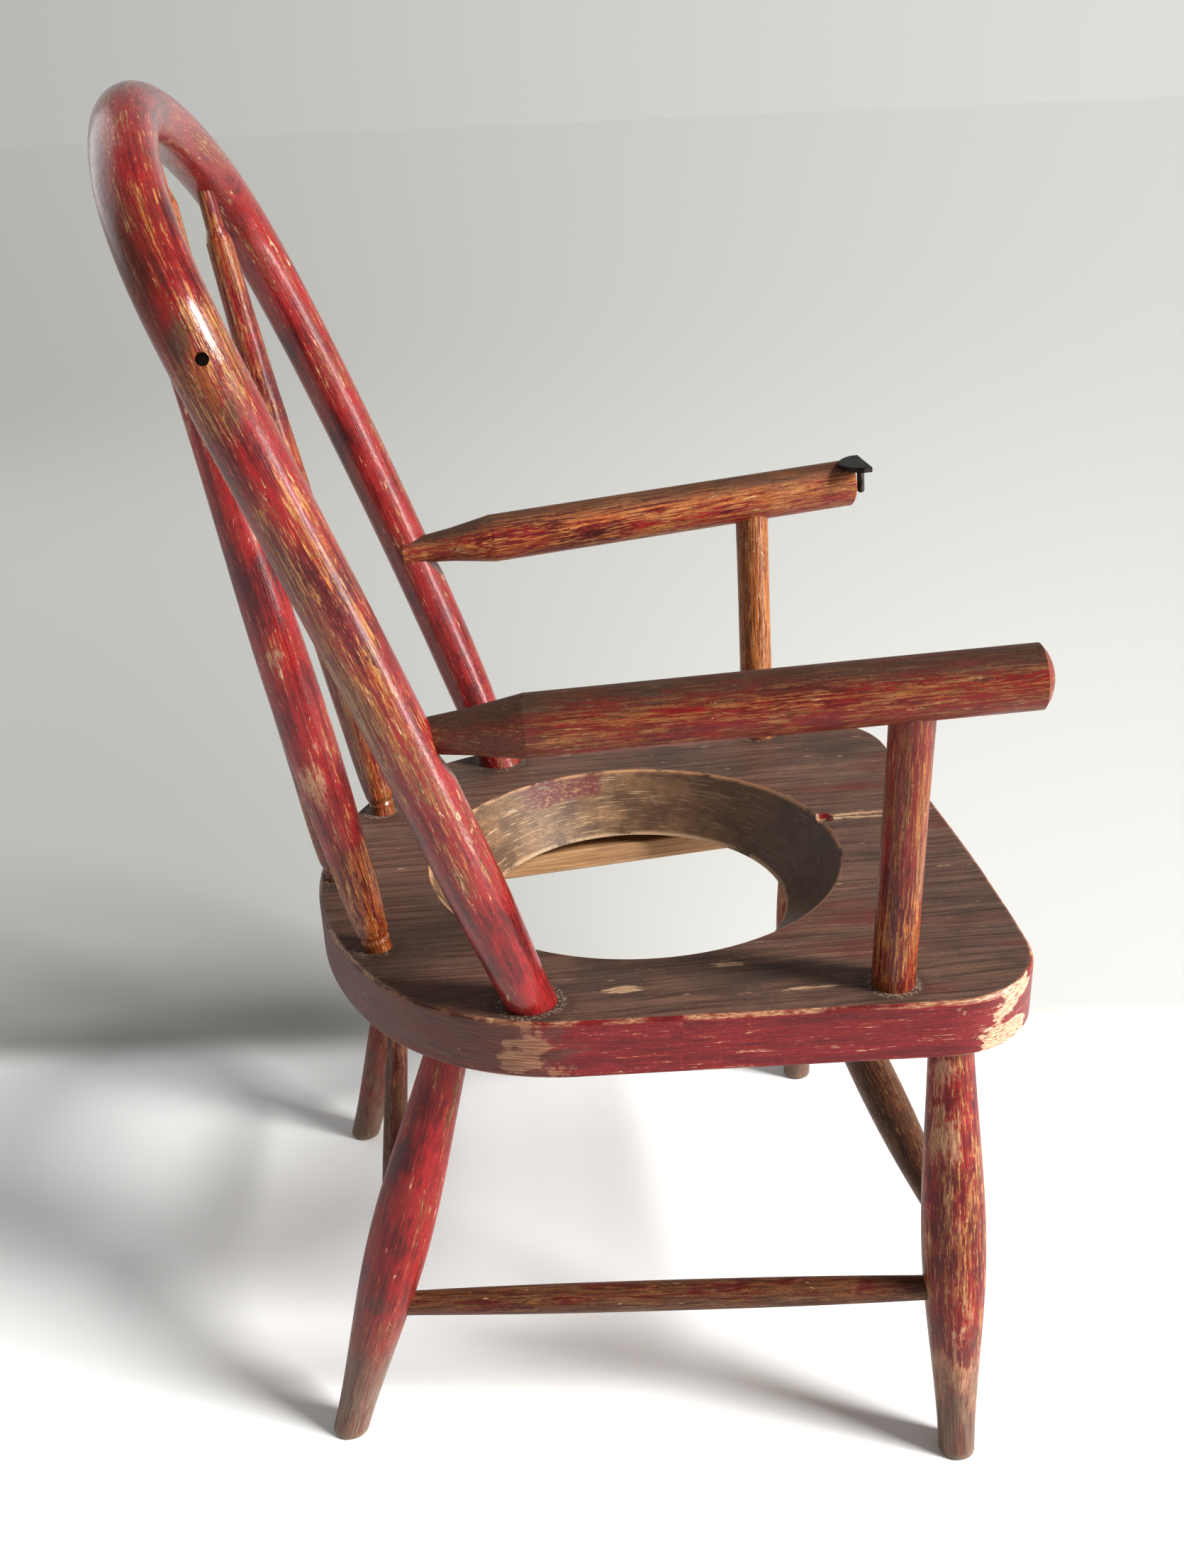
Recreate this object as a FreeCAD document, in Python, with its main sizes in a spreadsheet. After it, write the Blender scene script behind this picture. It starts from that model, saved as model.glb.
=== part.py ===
import FreeCAD, Part
import math
import os
import Sketcher
from FreeCAD import Vector, Rotation, Placement

# Child's commode chair: a box-stretcher stick chair with a bow back, two round
# arms and a seat board pierced by a tapered round opening.  Millimetres, +Z up,
# the chair faces -Y, its right-hand side is -X.  The origin is on the floor in
# the middle of the overall box.

os.makedirs("parts", exist_ok=True)
doc = FreeCAD.newDocument("child_commode_chair")

# ------------------------------------------------------------------ dimensions
dims = doc.addObject("Spreadsheet::Sheet", "dims")
ROWS = [
    # frame
    ("centre_x", 2.937, "seat's middle plane from the origin"),
    ("centre_y", 18.36, "working datum line from the origin"),
    # seat
    ("seat_top", 230.4, "top of the seat above the floor"),
    ("seat_thick", 26.2, "seat board thickness"),
    ("seat_front_y", -192.8, "front edge at the middle, from the datum"),
    ("seat_depth", 305.6, "front edge to back edge"),
    ("seat_back_r", 177.6, "back edge radius"),
    ("seat_hip_r", 104.2, "back corner radius"),
    ("seat_corner_r", 43.8, "front corner radius"),
    ("seat_front_r", 1838.0, "slight bow of the front edge"),
    ("seat_half_w", 150.6, "half width where the side meets the front corner"),
    ("seat_side_angle", 86.22, "side line from the front edge, degrees"),
    ("seat_arris_top", 2.4, "worn rounding of the top edge"),
    ("seat_arris_low", 1.4, "worn rounding of the lower edge"),
    ("plank_joint_x", 21.7, "glue line between the two planks"),
    ("plank_joint_arris", 0.35, "eased arris along the glue line"),
    ("opening_y", -36.8, "centre of the opening"),
    ("opening_top_r", 98.0, "opening radius at the top face"),
    ("opening_low_r", 71.9, "opening radius at the lower face"),
    ("opening_arris", 0.9, "softened rim"),
    ("chip_r", 7.0, "chip at the front of the rim"),
    # legs
    ("back_foot_x", 111.3, ""), ("back_foot_y", 117.3, ""),
    ("back_top_x", 105.9, ""), ("back_top_y", 55.7, ""),
    ("front_foot_x", 161.3, "right front foot"), ("front_foot_y", -155.5, ""),
    ("front_top_x", 134.5, ""), ("front_top_y", -149.0, ""),
    ("left_foot_x", 130.4, "left front foot, racked inwards"), ("left_foot_y", -150.3, ""),
    ("left_top_x", 127.5, ""),
    ("leg_za", 3.5, ""), ("leg_zb", 25.0, ""), ("leg_zc", 55.0, ""), ("leg_zd", 84.0, ""),
    ("leg_ze", 112.0, ""), ("leg_zf", 157.0, ""), ("leg_zg", 192.0, ""), ("leg_zh", 203.0, ""),
    ("leg_ra", 7.95, "foot"), ("leg_rb", 8.9, ""), ("leg_rc", 11.1, ""), ("leg_rd", 13.1, ""),
    ("leg_re", 13.65, "widest"), ("leg_rf", 11.7, ""), ("leg_rg", 9.6, ""), ("leg_rh", 9.1, "round tenon"),
    ("leg_tenon", 18.0, "depth in the seat"),
    ("foot_arris", 1.3, "worn edge of the foot"),
    # stretchers
    ("side_at_back", 70.3, "height on the back leg"), ("side_at_front", 83.9, "height on the front leg"),
    ("rear_height", 91.7, ""), ("front_height", 108.0, ""),
    ("rail_socket", 11.0, "how far a rail runs past the leg's axis plane, towards it"),
    ("side_end_r", 5.3, ""), ("side_mid_r", 6.5, ""),
    ("rear_end_r", 4.9, ""), ("rear_mid_r", 6.0, ""),
    ("front_end_r", 5.6, ""), ("front_mid_r", 10.5, ""),
    # back bow
    ("bow_w_a", 122.4, "half width at the seat"), ("bow_w_b", 130.9, ""), ("bow_w_c", 133.4, ""), ("bow_w_d", 136.0, ""),
    ("bow_w_e", 133.8, ""), ("bow_w_f", 106.5, ""), ("bow_w_g", 36.1, ""),
    ("bow_s_b", 49.5, "up the back, from the seat"), ("bow_s_c", 122.4, ""), ("bow_s_d", 207.7, ""), ("bow_s_e", 282.7, ""),
    ("bow_s_f", 323.6, ""), ("bow_s_top", 345.5, ""),
    ("bow_y", 21.6, "foot of the bow"), ("bow_tilt", 17.38, "degrees from upright"), ("bow_curve", 0.000164, "extra lean back"),
    ("bow_r", 11.7, ""), ("bow_foot_r", 10.3, "radius at the seat"), ("bow_tenon", 19.0, "depth in the seat"),
    ("peg_hole_r", 2.2, "small blind hole in the right limb"), ("peg_hole_deep", 12.0, ""),
    ("peg_hole_z", 486.7, ""),
    # spindles
    ("side_spindle_x", 68.7, ""), ("side_spindle_y", 83.8, ""),
    ("side_spindle_top_x", 89.5, ""), ("side_spindle_top_y", 135.3, ""), ("side_spindle_top_z", 531.0, ""),
    ("mid_spindle_y", 103.6, ""), ("mid_spindle_top_y", 143.0, ""), ("mid_spindle_top_z", 553.0, ""),
    ("spindle_tenon", 14.0, "depth in the seat"),
    ("spindle_za", 3.0, ""), ("spindle_zb", 12.0, ""), ("spindle_zc", 25.0, ""), ("spindle_zd", 58.0, ""),
    ("spindle_ze", 112.0, ""), ("spindle_zf", 150.0, ""), ("spindle_zg", 200.0, ""), ("spindle_zh", 250.0, ""),
    ("spindle_zi", 283.0, ""), ("spindle_zj", 288.5, ""),
    ("spindle_ra", 5.9, "base"), ("spindle_rb", 7.1, ""), ("spindle_rc", 8.0, ""), ("spindle_rd", 9.15, ""),
    ("spindle_re", 10.3, "widest"), ("spindle_rf", 9.8, ""), ("spindle_rg", 8.0, ""), ("spindle_rh", 6.5, ""),
    ("spindle_ri", 5.9, ""), ("spindle_rj", 4.1, "neck"), ("spindle_rk", 3.8, "top tenon"),
    ("spindle_ring_z", 6.4, "turned ring line"), ("spindle_ring_deep", 0.7, ""), ("spindle_ring_w", 1.5, ""),
    # arms
    ("arm_r", 12.2, ""), ("arm_tip_r", 6.9, "where the taper meets the bow"), ("arm_waist_r", 8.6, ""),
    ("arm_shoulder_x", 131.3, ""), ("arm_shoulder_y", 17.3, ""), ("arm_shoulder_z", 352.9, ""),
    ("arm_end_x", 150.1, ""), ("arm_end_y", -166.8, ""), ("arm_end_z", 364.9, ""),
    ("arm_taper", 35.5, "shoulder to the bow's face"), ("arm_waist", 21.0, "shoulder to the slack part of the taper"),
    ("arm_tenon", 12.0, "depth in the bow"),
    ("arm_dome", 4.6, "rise of the right arm's rounded end"),
    ("arm_left_extra", 10.8, "the left arm is this much longer"), ("arm_left_arris", 1.2, ""),
    ("bow_notch_r", 10.6, "eased seat for the arm's tip"), ("bow_notch_deep", 3.0, ""),
    # arm posts
    ("post_x", 132.5, ""), ("post_y", -124.2, ""), ("post_top_x", 144.9, ""), ("post_top_y", -122.3, ""),
    ("post_r", 8.8, ""), ("post_waist_r", 8.55, ""), ("post_tenon_r", 6.35, ""), ("post_tenon_low", 18.0, ""), ("post_tenon_high", 8.0, "above the arm's underside"),
    # pot runners
    ("runner_x", 72.2, "inner face of the lip beside the opening's centre"), ("runner_angle", 6.9, "opens towards the front, degrees"),
    ("runner_long", 232.0, ""), ("runner_y", -60.0, "middle of the runner"),
    ("runner_high", 17.0, ""), ("runner_lip", 10.0, "width of the lip"), ("runner_wide", 24.0, ""), ("runner_slot", 5.6, "height of the rebate"),
    ("runner_arris", 0.8, ""),
    # runner screws
    ("screw_r", 2.0, ""), ("screw_head_r", 4.0, ""), ("screw_head_high", 2.4, ""), ("screw_long", 30.0, ""), ("screw_pitch", 84.0, "between screws"),
    ("screw_slot_w", 1.0, ""), ("screw_slot_deep", 1.0, ""), ("screw_inset", 17.0, "from the lip's inner face"),
    # iron keeper
    ("keeper_thick", 2.7, ""), ("keeper_wide", 30.0, "straight front edge"), ("keeper_long", 14.0, "front edge to the rounded back"),
    ("keeper_over", 6.1, "how far the plate runs past the arm's end"), ("keeper_side", 9.4, "plate's middle inwards of the arm's axis"),
    ("keeper_bed", 1.9, "how far the plate is let into the arm"), ("keeper_soft", 0.55, "worn edges of the plate"),
    ("keeper_pin_r", 1.9, ""), ("keeper_pin_long", 14.0, "below the plate"), ("keeper_pin_gap", 3.5, "pin's axis in front of the arm's end"),
    ("keeper_spike_r", 1.6, ""), ("keeper_spike_long", 13.0, ""),
]
for i, (alias, value, note) in enumerate(ROWS, start=1):
    dims.set("A%d" % i, alias.replace("_", " "))
    dims.set("B%d" % i, repr(value))
    dims.set("C%d" % i, note)
    dims.setAlias("B%d" % i, alias)
doc.recompute()
V = {alias: float(dims.get(alias)) for alias, _, _ in ROWS}
CX, CY, TOP = V["centre_x"], V["centre_y"], V["seat_top"]
UNDER = TOP - V["seat_thick"]


def at(x, y, z):
    """A point given from the seat's middle plane and datum line."""
    return Vector(x + CX, y + CY, z)


def along(p, q):
    """Placement whose origin is p and whose +Z points at q."""
    d = q.sub(p)
    return Placement(p, Rotation(Vector(0, 0, 1), d))


# ------------------------------------------------------------------- builders
def role_plane(body, role):
    for feature in body.Origin.OriginFeatures:
        if getattr(feature, "Role", "") == role:
            return feature
    raise RuntimeError("no plane " + role)


def new_sketch(body, name, role):
    sk = body.newObject("Sketcher::SketchObject", name)
    sk.AttachmentSupport = (role_plane(body, role), [""])
    sk.MapMode = "FlatFace"
    return sk


def number(expr):
    """Value of an expression made of sheet cells and numbers, for the starting geometry."""
    text = expr.replace("dims.", "")
    total = 0.0
    for term in text.split("+"):
        product = 1.0
        for factor in term.split("*"):
            factor = factor.strip()
            product *= V[factor] if factor in V else float(factor)
        total += product
    return total


def round_section(body, name, z_expr, r_expr):
    """One round section across the turning axis."""
    sk = new_sketch(body, name, "XY_Plane")
    g = sk.addGeometry(Part.Circle(Vector(0, 0, 0), Vector(0, 0, 1), number(r_expr)), False)
    sk.addConstraint(Sketcher.Constraint("Coincident", g, 3, -1, 1))
    c = sk.addConstraint(Sketcher.Constraint("Radius", g, number(r_expr)))
    sk.setExpression("Constraints[%d]" % c, r_expr)
    sk.AttachmentOffset = Placement(Vector(0, 0, number(z_expr)), Rotation())
    sk.setExpression("AttachmentOffset.Base.z", z_expr)
    return sk


def turned_belly(body, name, stations):
    """Smoothly turned length through the (z, r) stations."""
    sections = [round_section(body, "%s_%02d" % (name, i), z, r) for i, (z, r) in enumerate(stations)]
    loft = body.newObject("PartDesign::AdditiveLoft", name)
    loft.Profile = sections[0]
    loft.Sections = sections[1:]
    loft.Ruled = False
    return loft


def half_profile(body, name, stations, role="XZ_Plane"):
    """Half profile of a turned length with straight sides, closed on the axis."""
    sk = new_sketch(body, name, role)
    pts = [(number(r), number(z)) for z, r in stations]
    ring = [(0.0, pts[0][1])] + pts + [(0.0, pts[-1][1])]
    n = len(ring)
    for i in range(n):
        a, b = ring[i], ring[(i + 1) % n]
        sk.addGeometry(Part.LineSegment(Vector(a[0], a[1], 0), Vector(b[0], b[1], 0)), False)
    for i in range(n):
        sk.addConstraint(Sketcher.Constraint("Coincident", i, 2, (i + 1) % n, 1))
    sk.addConstraint(Sketcher.Constraint("Horizontal", 0))
    sk.addConstraint(Sketcher.Constraint("Horizontal", n - 2))
    sk.addConstraint(Sketcher.Constraint("PointOnObject", 0, 1, -2))
    sk.addConstraint(Sketcher.Constraint("PointOnObject", n - 1, 1, -2))
    for i, (z, r) in enumerate(stations):
        vertex = (i, 2)
        c = sk.addConstraint(Sketcher.Constraint("DistanceX", -1, 1, vertex[0], vertex[1], number(r)))
        sk.setExpression("Constraints[%d]" % c, r)
        if abs(number(z)) < 1e-9:
            sk.addConstraint(Sketcher.Constraint("PointOnObject", vertex[0], vertex[1], -1))
        else:
            c = sk.addConstraint(Sketcher.Constraint("DistanceY", -1, 1, vertex[0], vertex[1], number(z)))
            sk.setExpression("Constraints[%d]" % c, z)
    return sk


def turned_straight(body, name, stations):
    sk = half_profile(body, name + "_profile", stations)
    rev = body.newObject("PartDesign::Revolution", name)
    rev.Profile = sk
    rev.ReferenceAxis = (sk, ["V_Axis"])
    rev.Angle = 360.0
    return rev


def ring_line(body, name, z_expr, r_expr, deep_expr, wide_expr):
    """V-shaped ring line scribed round a turning."""
    sk = new_sketch(body, name + "_profile", "XZ_Plane")
    z, r, deep, wide = (number(e) for e in (z_expr, r_expr, deep_expr, wide_expr))
    out = r + 2.0
    slope = wide / 2.0 / deep
    a = Vector(r - deep, z, 0)
    b = Vector(out, z + slope * (out - r + deep), 0)
    c = Vector(out, z - slope * (out - r + deep), 0)
    for p, q in ((a, b), (b, c), (c, a)):
        sk.addGeometry(Part.LineSegment(p, q), False)
    for i in range(3):
        sk.addConstraint(Sketcher.Constraint("Coincident", i, 2, (i + 1) % 3, 1))
    sk.addConstraint(Sketcher.Constraint("Vertical", 1))
    k = sk.addConstraint(Sketcher.Constraint("DistanceX", -1, 1, 0, 1, a.x))
    sk.setExpression("Constraints[%d]" % k, "%s - %s" % (r_expr, deep_expr))
    k = sk.addConstraint(Sketcher.Constraint("DistanceY", -1, 1, 0, 1, z))
    sk.setExpression("Constraints[%d]" % k, z_expr)
    sk.addConstraint(Sketcher.Constraint("DistanceX", -1, 1, 0, 2, out))
    sk.addConstraint(Sketcher.Constraint("DistanceY", 1, 2, 1, 1, b.y - c.y))
    k = sk.addConstraint(Sketcher.Constraint("DistanceY", 0, 1, 0, 2, b.y - z))
    groove = body.newObject("PartDesign::Groove", name)
    groove.Profile = sk
    groove.ReferenceAxis = (sk, ["V_Axis"])
    groove.Angle = 360.0
    return groove


def cylinder(name, r_expr, length_expr, placement):
    c = doc.addObject("Part::Cylinder", name)
    c.setExpression("Radius", r_expr)
    c.setExpression("Height", length_expr)
    c.Placement = placement
    return c


def fuse(name, shapes):
    if len(shapes) == 1:
        return shapes[0]
    f = doc.addObject("Part::MultiFuse", name)
    f.Shapes = shapes
    return f


def cut(name, base, tools):
    c = doc.addObject("Part::Cut", name)
    c.Base = base
    c.Tool = fuse(name + "_tools", tools)
    return c


def edges_where(shape, test):
    found = []
    for i, e in enumerate(shape.Edges, start=1):
        if e.Length > 0.2 and test(e):
            found.append(i)
    return found


def round_edges(name, base, test, r):
    f = doc.addObject("Part::Fillet", name)
    f.Base = base
    doc.recompute()
    ids = edges_where(base.Shape, test)
    if not ids:
        raise RuntimeError(name + ": no edge found")
    f.Edges = [(i, r, r) for i in ids]
    return f


NODES = []


def node(obj, label):
    obj.Label = label
    NODES.append(obj)
    return obj


# ----------------------------------------------------------- axes of the sticks
FOOT = {
    "back_right": (at(-V["back_foot_x"], V["back_foot_y"], 0), at(-V["back_top_x"], V["back_top_y"], UNDER)),
    "back_left": (at(V["back_foot_x"], V["back_foot_y"], 0), at(V["back_top_x"], V["back_top_y"], UNDER)),
    "front_right": (at(-V["front_foot_x"], V["front_foot_y"], 0), at(-V["front_top_x"], V["front_top_y"], UNDER)),
    "front_left": (at(V["left_foot_x"], V["left_foot_y"], 0), at(V["left_top_x"], V["front_top_y"], UNDER)),
}


def on_leg(name, height):
    a, b = FOOT[name]
    t = (height - a.z) / (b.z - a.z)
    return a.add(b.sub(a).multiply(t))


RAILS = {
    # name: (leg, height, leg, height, end radius cell, middle radius cell)
    "stretcher_right": ("front_right", "side_at_front", "back_right", "side_at_back", "side_end_r", "side_mid_r"),
    "stretcher_left": ("front_left", "side_at_front", "back_left", "side_at_back", "side_end_r", "side_mid_r"),
    "stretcher_back": ("back_right", "rear_height", "back_left", "rear_height", "rear_end_r", "rear_mid_r"),
    "stretcher_front": ("front_right", "front_height", "front_left", "front_height", "front_end_r", "front_mid_r"),
}


def rail_ends(name):
    la, ha, lb, hb = RAILS[name][:4]
    return on_leg(la, V[ha]), on_leg(lb, V[hb])


# ------------------------------------------------------------------------ legs
def make_leg(which):
    a, b = FOOT[which]
    body = doc.addObject("PartDesign::Body", "leg_%s_turning" % which)
    slant = b.sub(a).Length / (b.z - a.z)
    start = 10.0  # stock left below the floor line, sawn off level
    st = [("0.0", "dims.leg_ra")]
    for key in "abcdefgh":
        st.append(("%s + dims.leg_z%s * %.6f" % (repr(start), key, slant), "dims.leg_r" + key))
    st.append(("%s + dims.leg_zh * %.6f + dims.leg_tenon" % (repr(start), slant), "dims.leg_rh"))
    turned_belly(body, "leg_%s_belly" % which, st[:-1])
    turned_straight_top = round_section(body, "leg_%s_top" % which, st[-1][0], st[-1][1])
    pad_from = st[-2]
    loft = body.newObject("PartDesign::AdditiveLoft", "leg_%s_tenon" % which)
    base = round_section(body, "leg_%s_neck" % which, pad_from[0], pad_from[1])
    loft.Profile = base
    loft.Sections = [turned_straight_top]
    loft.Ruled = True
    body.Tip = loft
    d = b.sub(a)
    d.normalize()
    p0 = a.sub(Vector(d).multiply(start))
    body.Placement = Placement(p0, Rotation(Vector(0, 0, 1), d))
    # the foot is sawn level with the floor
    saw = doc.addObject("Part::Box", "leg_%s_saw" % which)
    saw.Length, saw.Width, saw.Height = 80, 80, 30
    saw.Placement = Placement(Vector(a.x - 40, a.y - 40, -30), Rotation())
    # top of the tenon is cut parallel to the seat
    crown = doc.addObject("Part::Box", "leg_%s_crown" % which)
    crown.Length, crown.Width, crown.Height = 80, 80, 40
    crown.Placement = Placement(Vector(b.x - 40, b.y - 40, UNDER + V["leg_tenon"]), Rotation())
    tools = [saw, crown]
    for rail, (la, ha, lb, hb, er, mr) in RAILS.items():
        if which not in (la, lb):
            continue
        p, q = rail_ends(rail)
        if which == lb:
            p, q = q, p
        # blind socket from the face of the leg towards its axis
        axis = q.sub(p)
        axis.normalize()
        s = p.sub(Vector(axis).multiply(RAIL_IN))
        tools.append(cylinder("%s_socket_%s" % (rail, which), "dims." + er, "40", Placement(s, Rotation(Vector(0, 0, 1), axis))))
    c = cut("leg_%s_cut" % which, body, tools)
    low = lambda e: e.BoundBox.ZMax < 0.2
    f = round_edges("leg_%s_node" % which, c, low, V["foot_arris"])
    return node(f, "leg_" + which)


RAIL_IN = 2.0  # the end of a rail lies this far past the leg's axis
for which in ("front_right", "front_left", "back_right", "back_left"):
    make_leg(which)


# ------------------------------------------------------------------ stretchers
def make_rail(name):
    er, mr = RAILS[name][4:]
    p, q = rail_ends(name)
    axis = q.sub(p)
    axis.normalize()
    p = p.sub(Vector(axis).multiply(RAIL_IN))
    q = q.add(Vector(axis).multiply(RAIL_IN))
    length = q.sub(p).Length
    body = doc.addObject("PartDesign::Body", name + "_body")
    fat = "dims." + mr
    thin = "dims." + er
    mix = lambda k: "%.3f * %s + %.3f * %s" % (k, fat, 1 - k, thin)
    stations = [(repr(round(18.0, 3)), thin), (repr(round(0.13 * length, 3)), mix(0.30)), (repr(round(0.27 * length, 3)), mix(0.78)),
                (repr(round(0.5 * length, 3)), fat),
                (repr(round(0.73 * length, 3)), mix(0.78)), (repr(round(0.87 * length, 3)), mix(0.30)), (repr(round(length - 18.0, 3)), thin)]
    turned_straight(body, name + "_tenon_a", [("0.0", thin), ("18.0", thin)])
    turned_belly(body, name + "_belly", stations)
    end = turned_straight(body, name + "_tenon_b", [(repr(round(length - 18.0, 3)), thin), (repr(round(length, 3)), thin)])
    body.Tip = end
    body.Placement = Placement(p, Rotation(Vector(0, 0, 1), axis))
    return node(body, name)


for name in RAILS:
    make_rail(name)

# ------------------------------------------------------------------------- bow
curve = Part.BSplineCurve()
bow_poles = [Vector(V["bow_w_a"], 0, 0)]
for key in "bcdef":
    bow_poles.append(Vector(V["bow_w_" + key], V["bow_s_" + key], 0))
bow_poles.append(Vector(V["bow_w_g"], V["bow_s_top"], 0))
bow_poles.append(Vector(0, V["bow_s_top"], 0))
curve.buildFromPolesMultsKnots(bow_poles, [4, 1, 1, 1, 1, 4], [0, 0.2, 0.4, 0.6, 0.8, 1.0], False, 3)
TILT = math.radians(V["bow_tilt"])


def bow_point(w, s):
    """Centreline point from the half width and the distance up the back."""
    lean = V["bow_curve"] * s * s if s > 0 else 0.0
    return at(w, V["bow_y"] + s * math.sin(TILT) + lean, TOP + s * math.cos(TILT))


def bow_frame(w, s, dw, ds):
    """Point, tangent and the direction square to the back's surface."""
    p = bow_point(w, s)
    lean = math.sin(TILT) + 2 * V["bow_curve"] * max(s, 0.0)
    t = Vector(dw, lean * ds, math.cos(TILT) * ds)
    t.normalize()
    n = Vector(0, math.cos(TILT), -lean)
    n.normalize()
    return p, t, n


half = []
COUNT = 16
total_len = curve.length()
for i in range(COUNT + 1):
    u = curve.parameterAtDistance(total_len * i / COUNT, 0.0)
    c = curve.value(u)
    d = curve.tangent(u)[0]
    half.append((c.x, c.y, d.x, d.y))


def bow_swell(s):
    """0 at the seat, 1 where the limb has reached its full thickness."""
    k = max(0.0, min(1.0, (s - 1.0) / 66.0))
    return k * k * (3 - 2 * k)


stations = []
w0, s0, dw0, ds0 = half[0]
# straight tenons below the seat's top, following the limb's own direction there
for k in (1.0, 0.66, 0.33):
    stations.append((-(w0 - dw0 / ds0 * V["bow_tenon"] * k), -V["bow_tenon"] * k, -dw0, ds0))
for w, s, dw, ds in half:
    stations.append((-w, s, -dw, ds))
for w, s, dw, ds in reversed(half[:-1]):
    stations.append((w, s, -dw, -ds))
for k in (0.33, 0.66, 1.0):
    stations.append((w0 - dw0 / ds0 * V["bow_tenon"] * k, -V["bow_tenon"] * k, -dw0, -ds0))
rings = []
for i, (w, s, dw, ds) in enumerate(stations):
    p, t, n = bow_frame(w, s, dw, ds)
    b = t.cross(n)
    ring = doc.addObject("Part::Circle", "bow_ring_%02d" % i)
    ring.setExpression("Radius", "dims.bow_foot_r + (dims.bow_r - dims.bow_foot_r) * %.5f" % bow_swell(s))
    m = FreeCAD.Matrix(n.x, b.x, t.x, p.x, n.y, b.y, t.y, p.y, n.z, b.z, t.z, p.z, 0, 0, 0, 1)
    ring.Placement = Placement(m)
    rings.append(ring)
bend = doc.addObject("Part::Loft", "bow_bend")
bend.Sections = rings
bend.Solid = True
bend.Ruled = False
bend.Closed = False
bend.MaxDegree = 5


def arm_axis(side):
    """Shoulder point and unit direction towards the front end."""
    a = at(side * V["arm_shoulder_x"], V["arm_shoulder_y"], V["arm_shoulder_z"])
    b = at(side * V["arm_end_x"], V["arm_end_y"], V["arm_end_z"])
    d = b.sub(a)
    length = d.Length
    d.normalize()
    return a, d, length


def spindle_axis(which):
    if which == "centre":
        return at(0, V["mid_spindle_y"], TOP), at(0, V["mid_spindle_top_y"], V["mid_spindle_top_z"])
    side = -1 if which == "right" else 1
    return (at(side * V["side_spindle_x"], V["side_spindle_y"], TOP),
            at(side * V["side_spindle_top_x"], V["side_spindle_top_y"], V["side_spindle_top_z"]))


bow_tools = []
for which in ("right", "centre", "left"):
    p, q = spindle_axis(which)
    d = q.sub(p)
    d.normalize()
    bow_tools.append(cylinder("spindle_%s_bow_socket" % which, "dims.spindle_rk", "26", Placement(q.sub(Vector(d).multiply(26)), Rotation(Vector(0, 0, 1), d))))
for side, word in ((-1, "right"), (1, "left")):
    a, d, length = arm_axis(side)
    back = Vector(d).multiply(-1)
    mouth = a.add(Vector(back).multiply(V["arm_taper"]))
    bow_tools.append(cylinder("arm_%s_bow_socket" % word, "dims.arm_tip_r", "dims.arm_tenon + 10",
                              Placement(mouth.sub(Vector(back).multiply(10)), Rotation(Vector(0, 0, 1), back))))
    notch = doc.addObject("Part::Cone", "arm_%s_notch" % word)
    notch.setExpression("Radius1", "dims.arm_tip_r + (dims.bow_notch_r - dims.arm_tip_r) / dims.bow_notch_deep * 12")
    notch.setExpression("Radius2", "dims.arm_tip_r")
    notch.Height = 12
    notch.Placement = Placement(mouth.sub(Vector(back).multiply(12.0)), Rotation(Vector(0, 0, 1), back))
    bow_tools.append(notch)
# small blind hole, drilled square to the right limb from its outer side
lo, hi = 0.0, 1.0
for _ in range(60):
    mid = (lo + hi) / 2
    c = curve.value(mid)
    if bow_point(c.x, c.y).z < V["peg_hole_z"]:
        lo = mid
    else:
        hi = mid
c, d = curve.value(lo), curve.tangent(lo)[0]
p, t, n = bow_frame(-c.x, c.y, -d.x, d.y)
peg_dir = Vector(-1, -0.22, 0)
peg_dir = peg_dir.sub(Vector(t).multiply(peg_dir.dot(t)))
peg_dir.normalize()
PEG_MOUTH = p.add(Vector(peg_dir).multiply(V["bow_r"]))
PEG_DIR = peg_dir
bow_tools.append(cylinder("peg_hole", "dims.peg_hole_r", "dims.peg_hole_deep + 4",
                          Placement(PEG_MOUTH.add(Vector(peg_dir).multiply(4.0)), Rotation(Vector(0, 0, 1), Vector(peg_dir).multiply(-1)))))
bow = cut("back_bow_node", bend, bow_tools)
node(bow, "back_bow")


# -------------------------------------------------------------------- spindles
def make_spindle(which):
    p, q = spindle_axis(which)
    length = q.sub(p).Length
    d = q.sub(p)
    d.normalize()
    body = doc.addObject("PartDesign::Body", "spindle_%s_body" % which)
    grow = length / 307.0
    base = "dims.spindle_tenon"
    z = lambda key: "%s + dims.spindle_z%s * %.6f" % (base, key, grow)
    low = lambda key: "%s + dims.spindle_z%s" % (base, key)
    turned_straight(body, "spindle_%s_foot" % which, [("0.0", "dims.spindle_ra"), (low("a"), "dims.spindle_ra")])
    turned_belly(body, "spindle_%s_belly" % which,
                 [(low("a"), "dims.spindle_ra"), (low("b"), "dims.spindle_rb"), (low("c"), "dims.spindle_rc"), (z("d"), "dims.spindle_rd"),
                  (z("e"), "dims.spindle_re"), (z("f"), "dims.spindle_rf"), (z("g"), "dims.spindle_rg"), (z("h"), "dims.spindle_rh"), (z("i"), "dims.spindle_ri")])
    turned_straight(body, "spindle_%s_neck" % which,
                    [(z("i"), "dims.spindle_ri"), (z("j"), "dims.spindle_rj"), ("%s + %.4f" % (base, length - 8.0), "dims.spindle_rk"), ("%s + %.4f" % (base, length), "dims.spindle_rk")])
    ring = ring_line(body, "spindle_%s_ring" % which, "%s + dims.spindle_ring_z" % base, "dims.spindle_ra", "0.35", "dims.spindle_ring_w")
    body.Tip = ring
    body.Placement = Placement(p.sub(Vector(d).multiply(V["spindle_tenon"])), Rotation(Vector(0, 0, 1), d))
    return node(body, "spindle_" + which)


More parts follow.
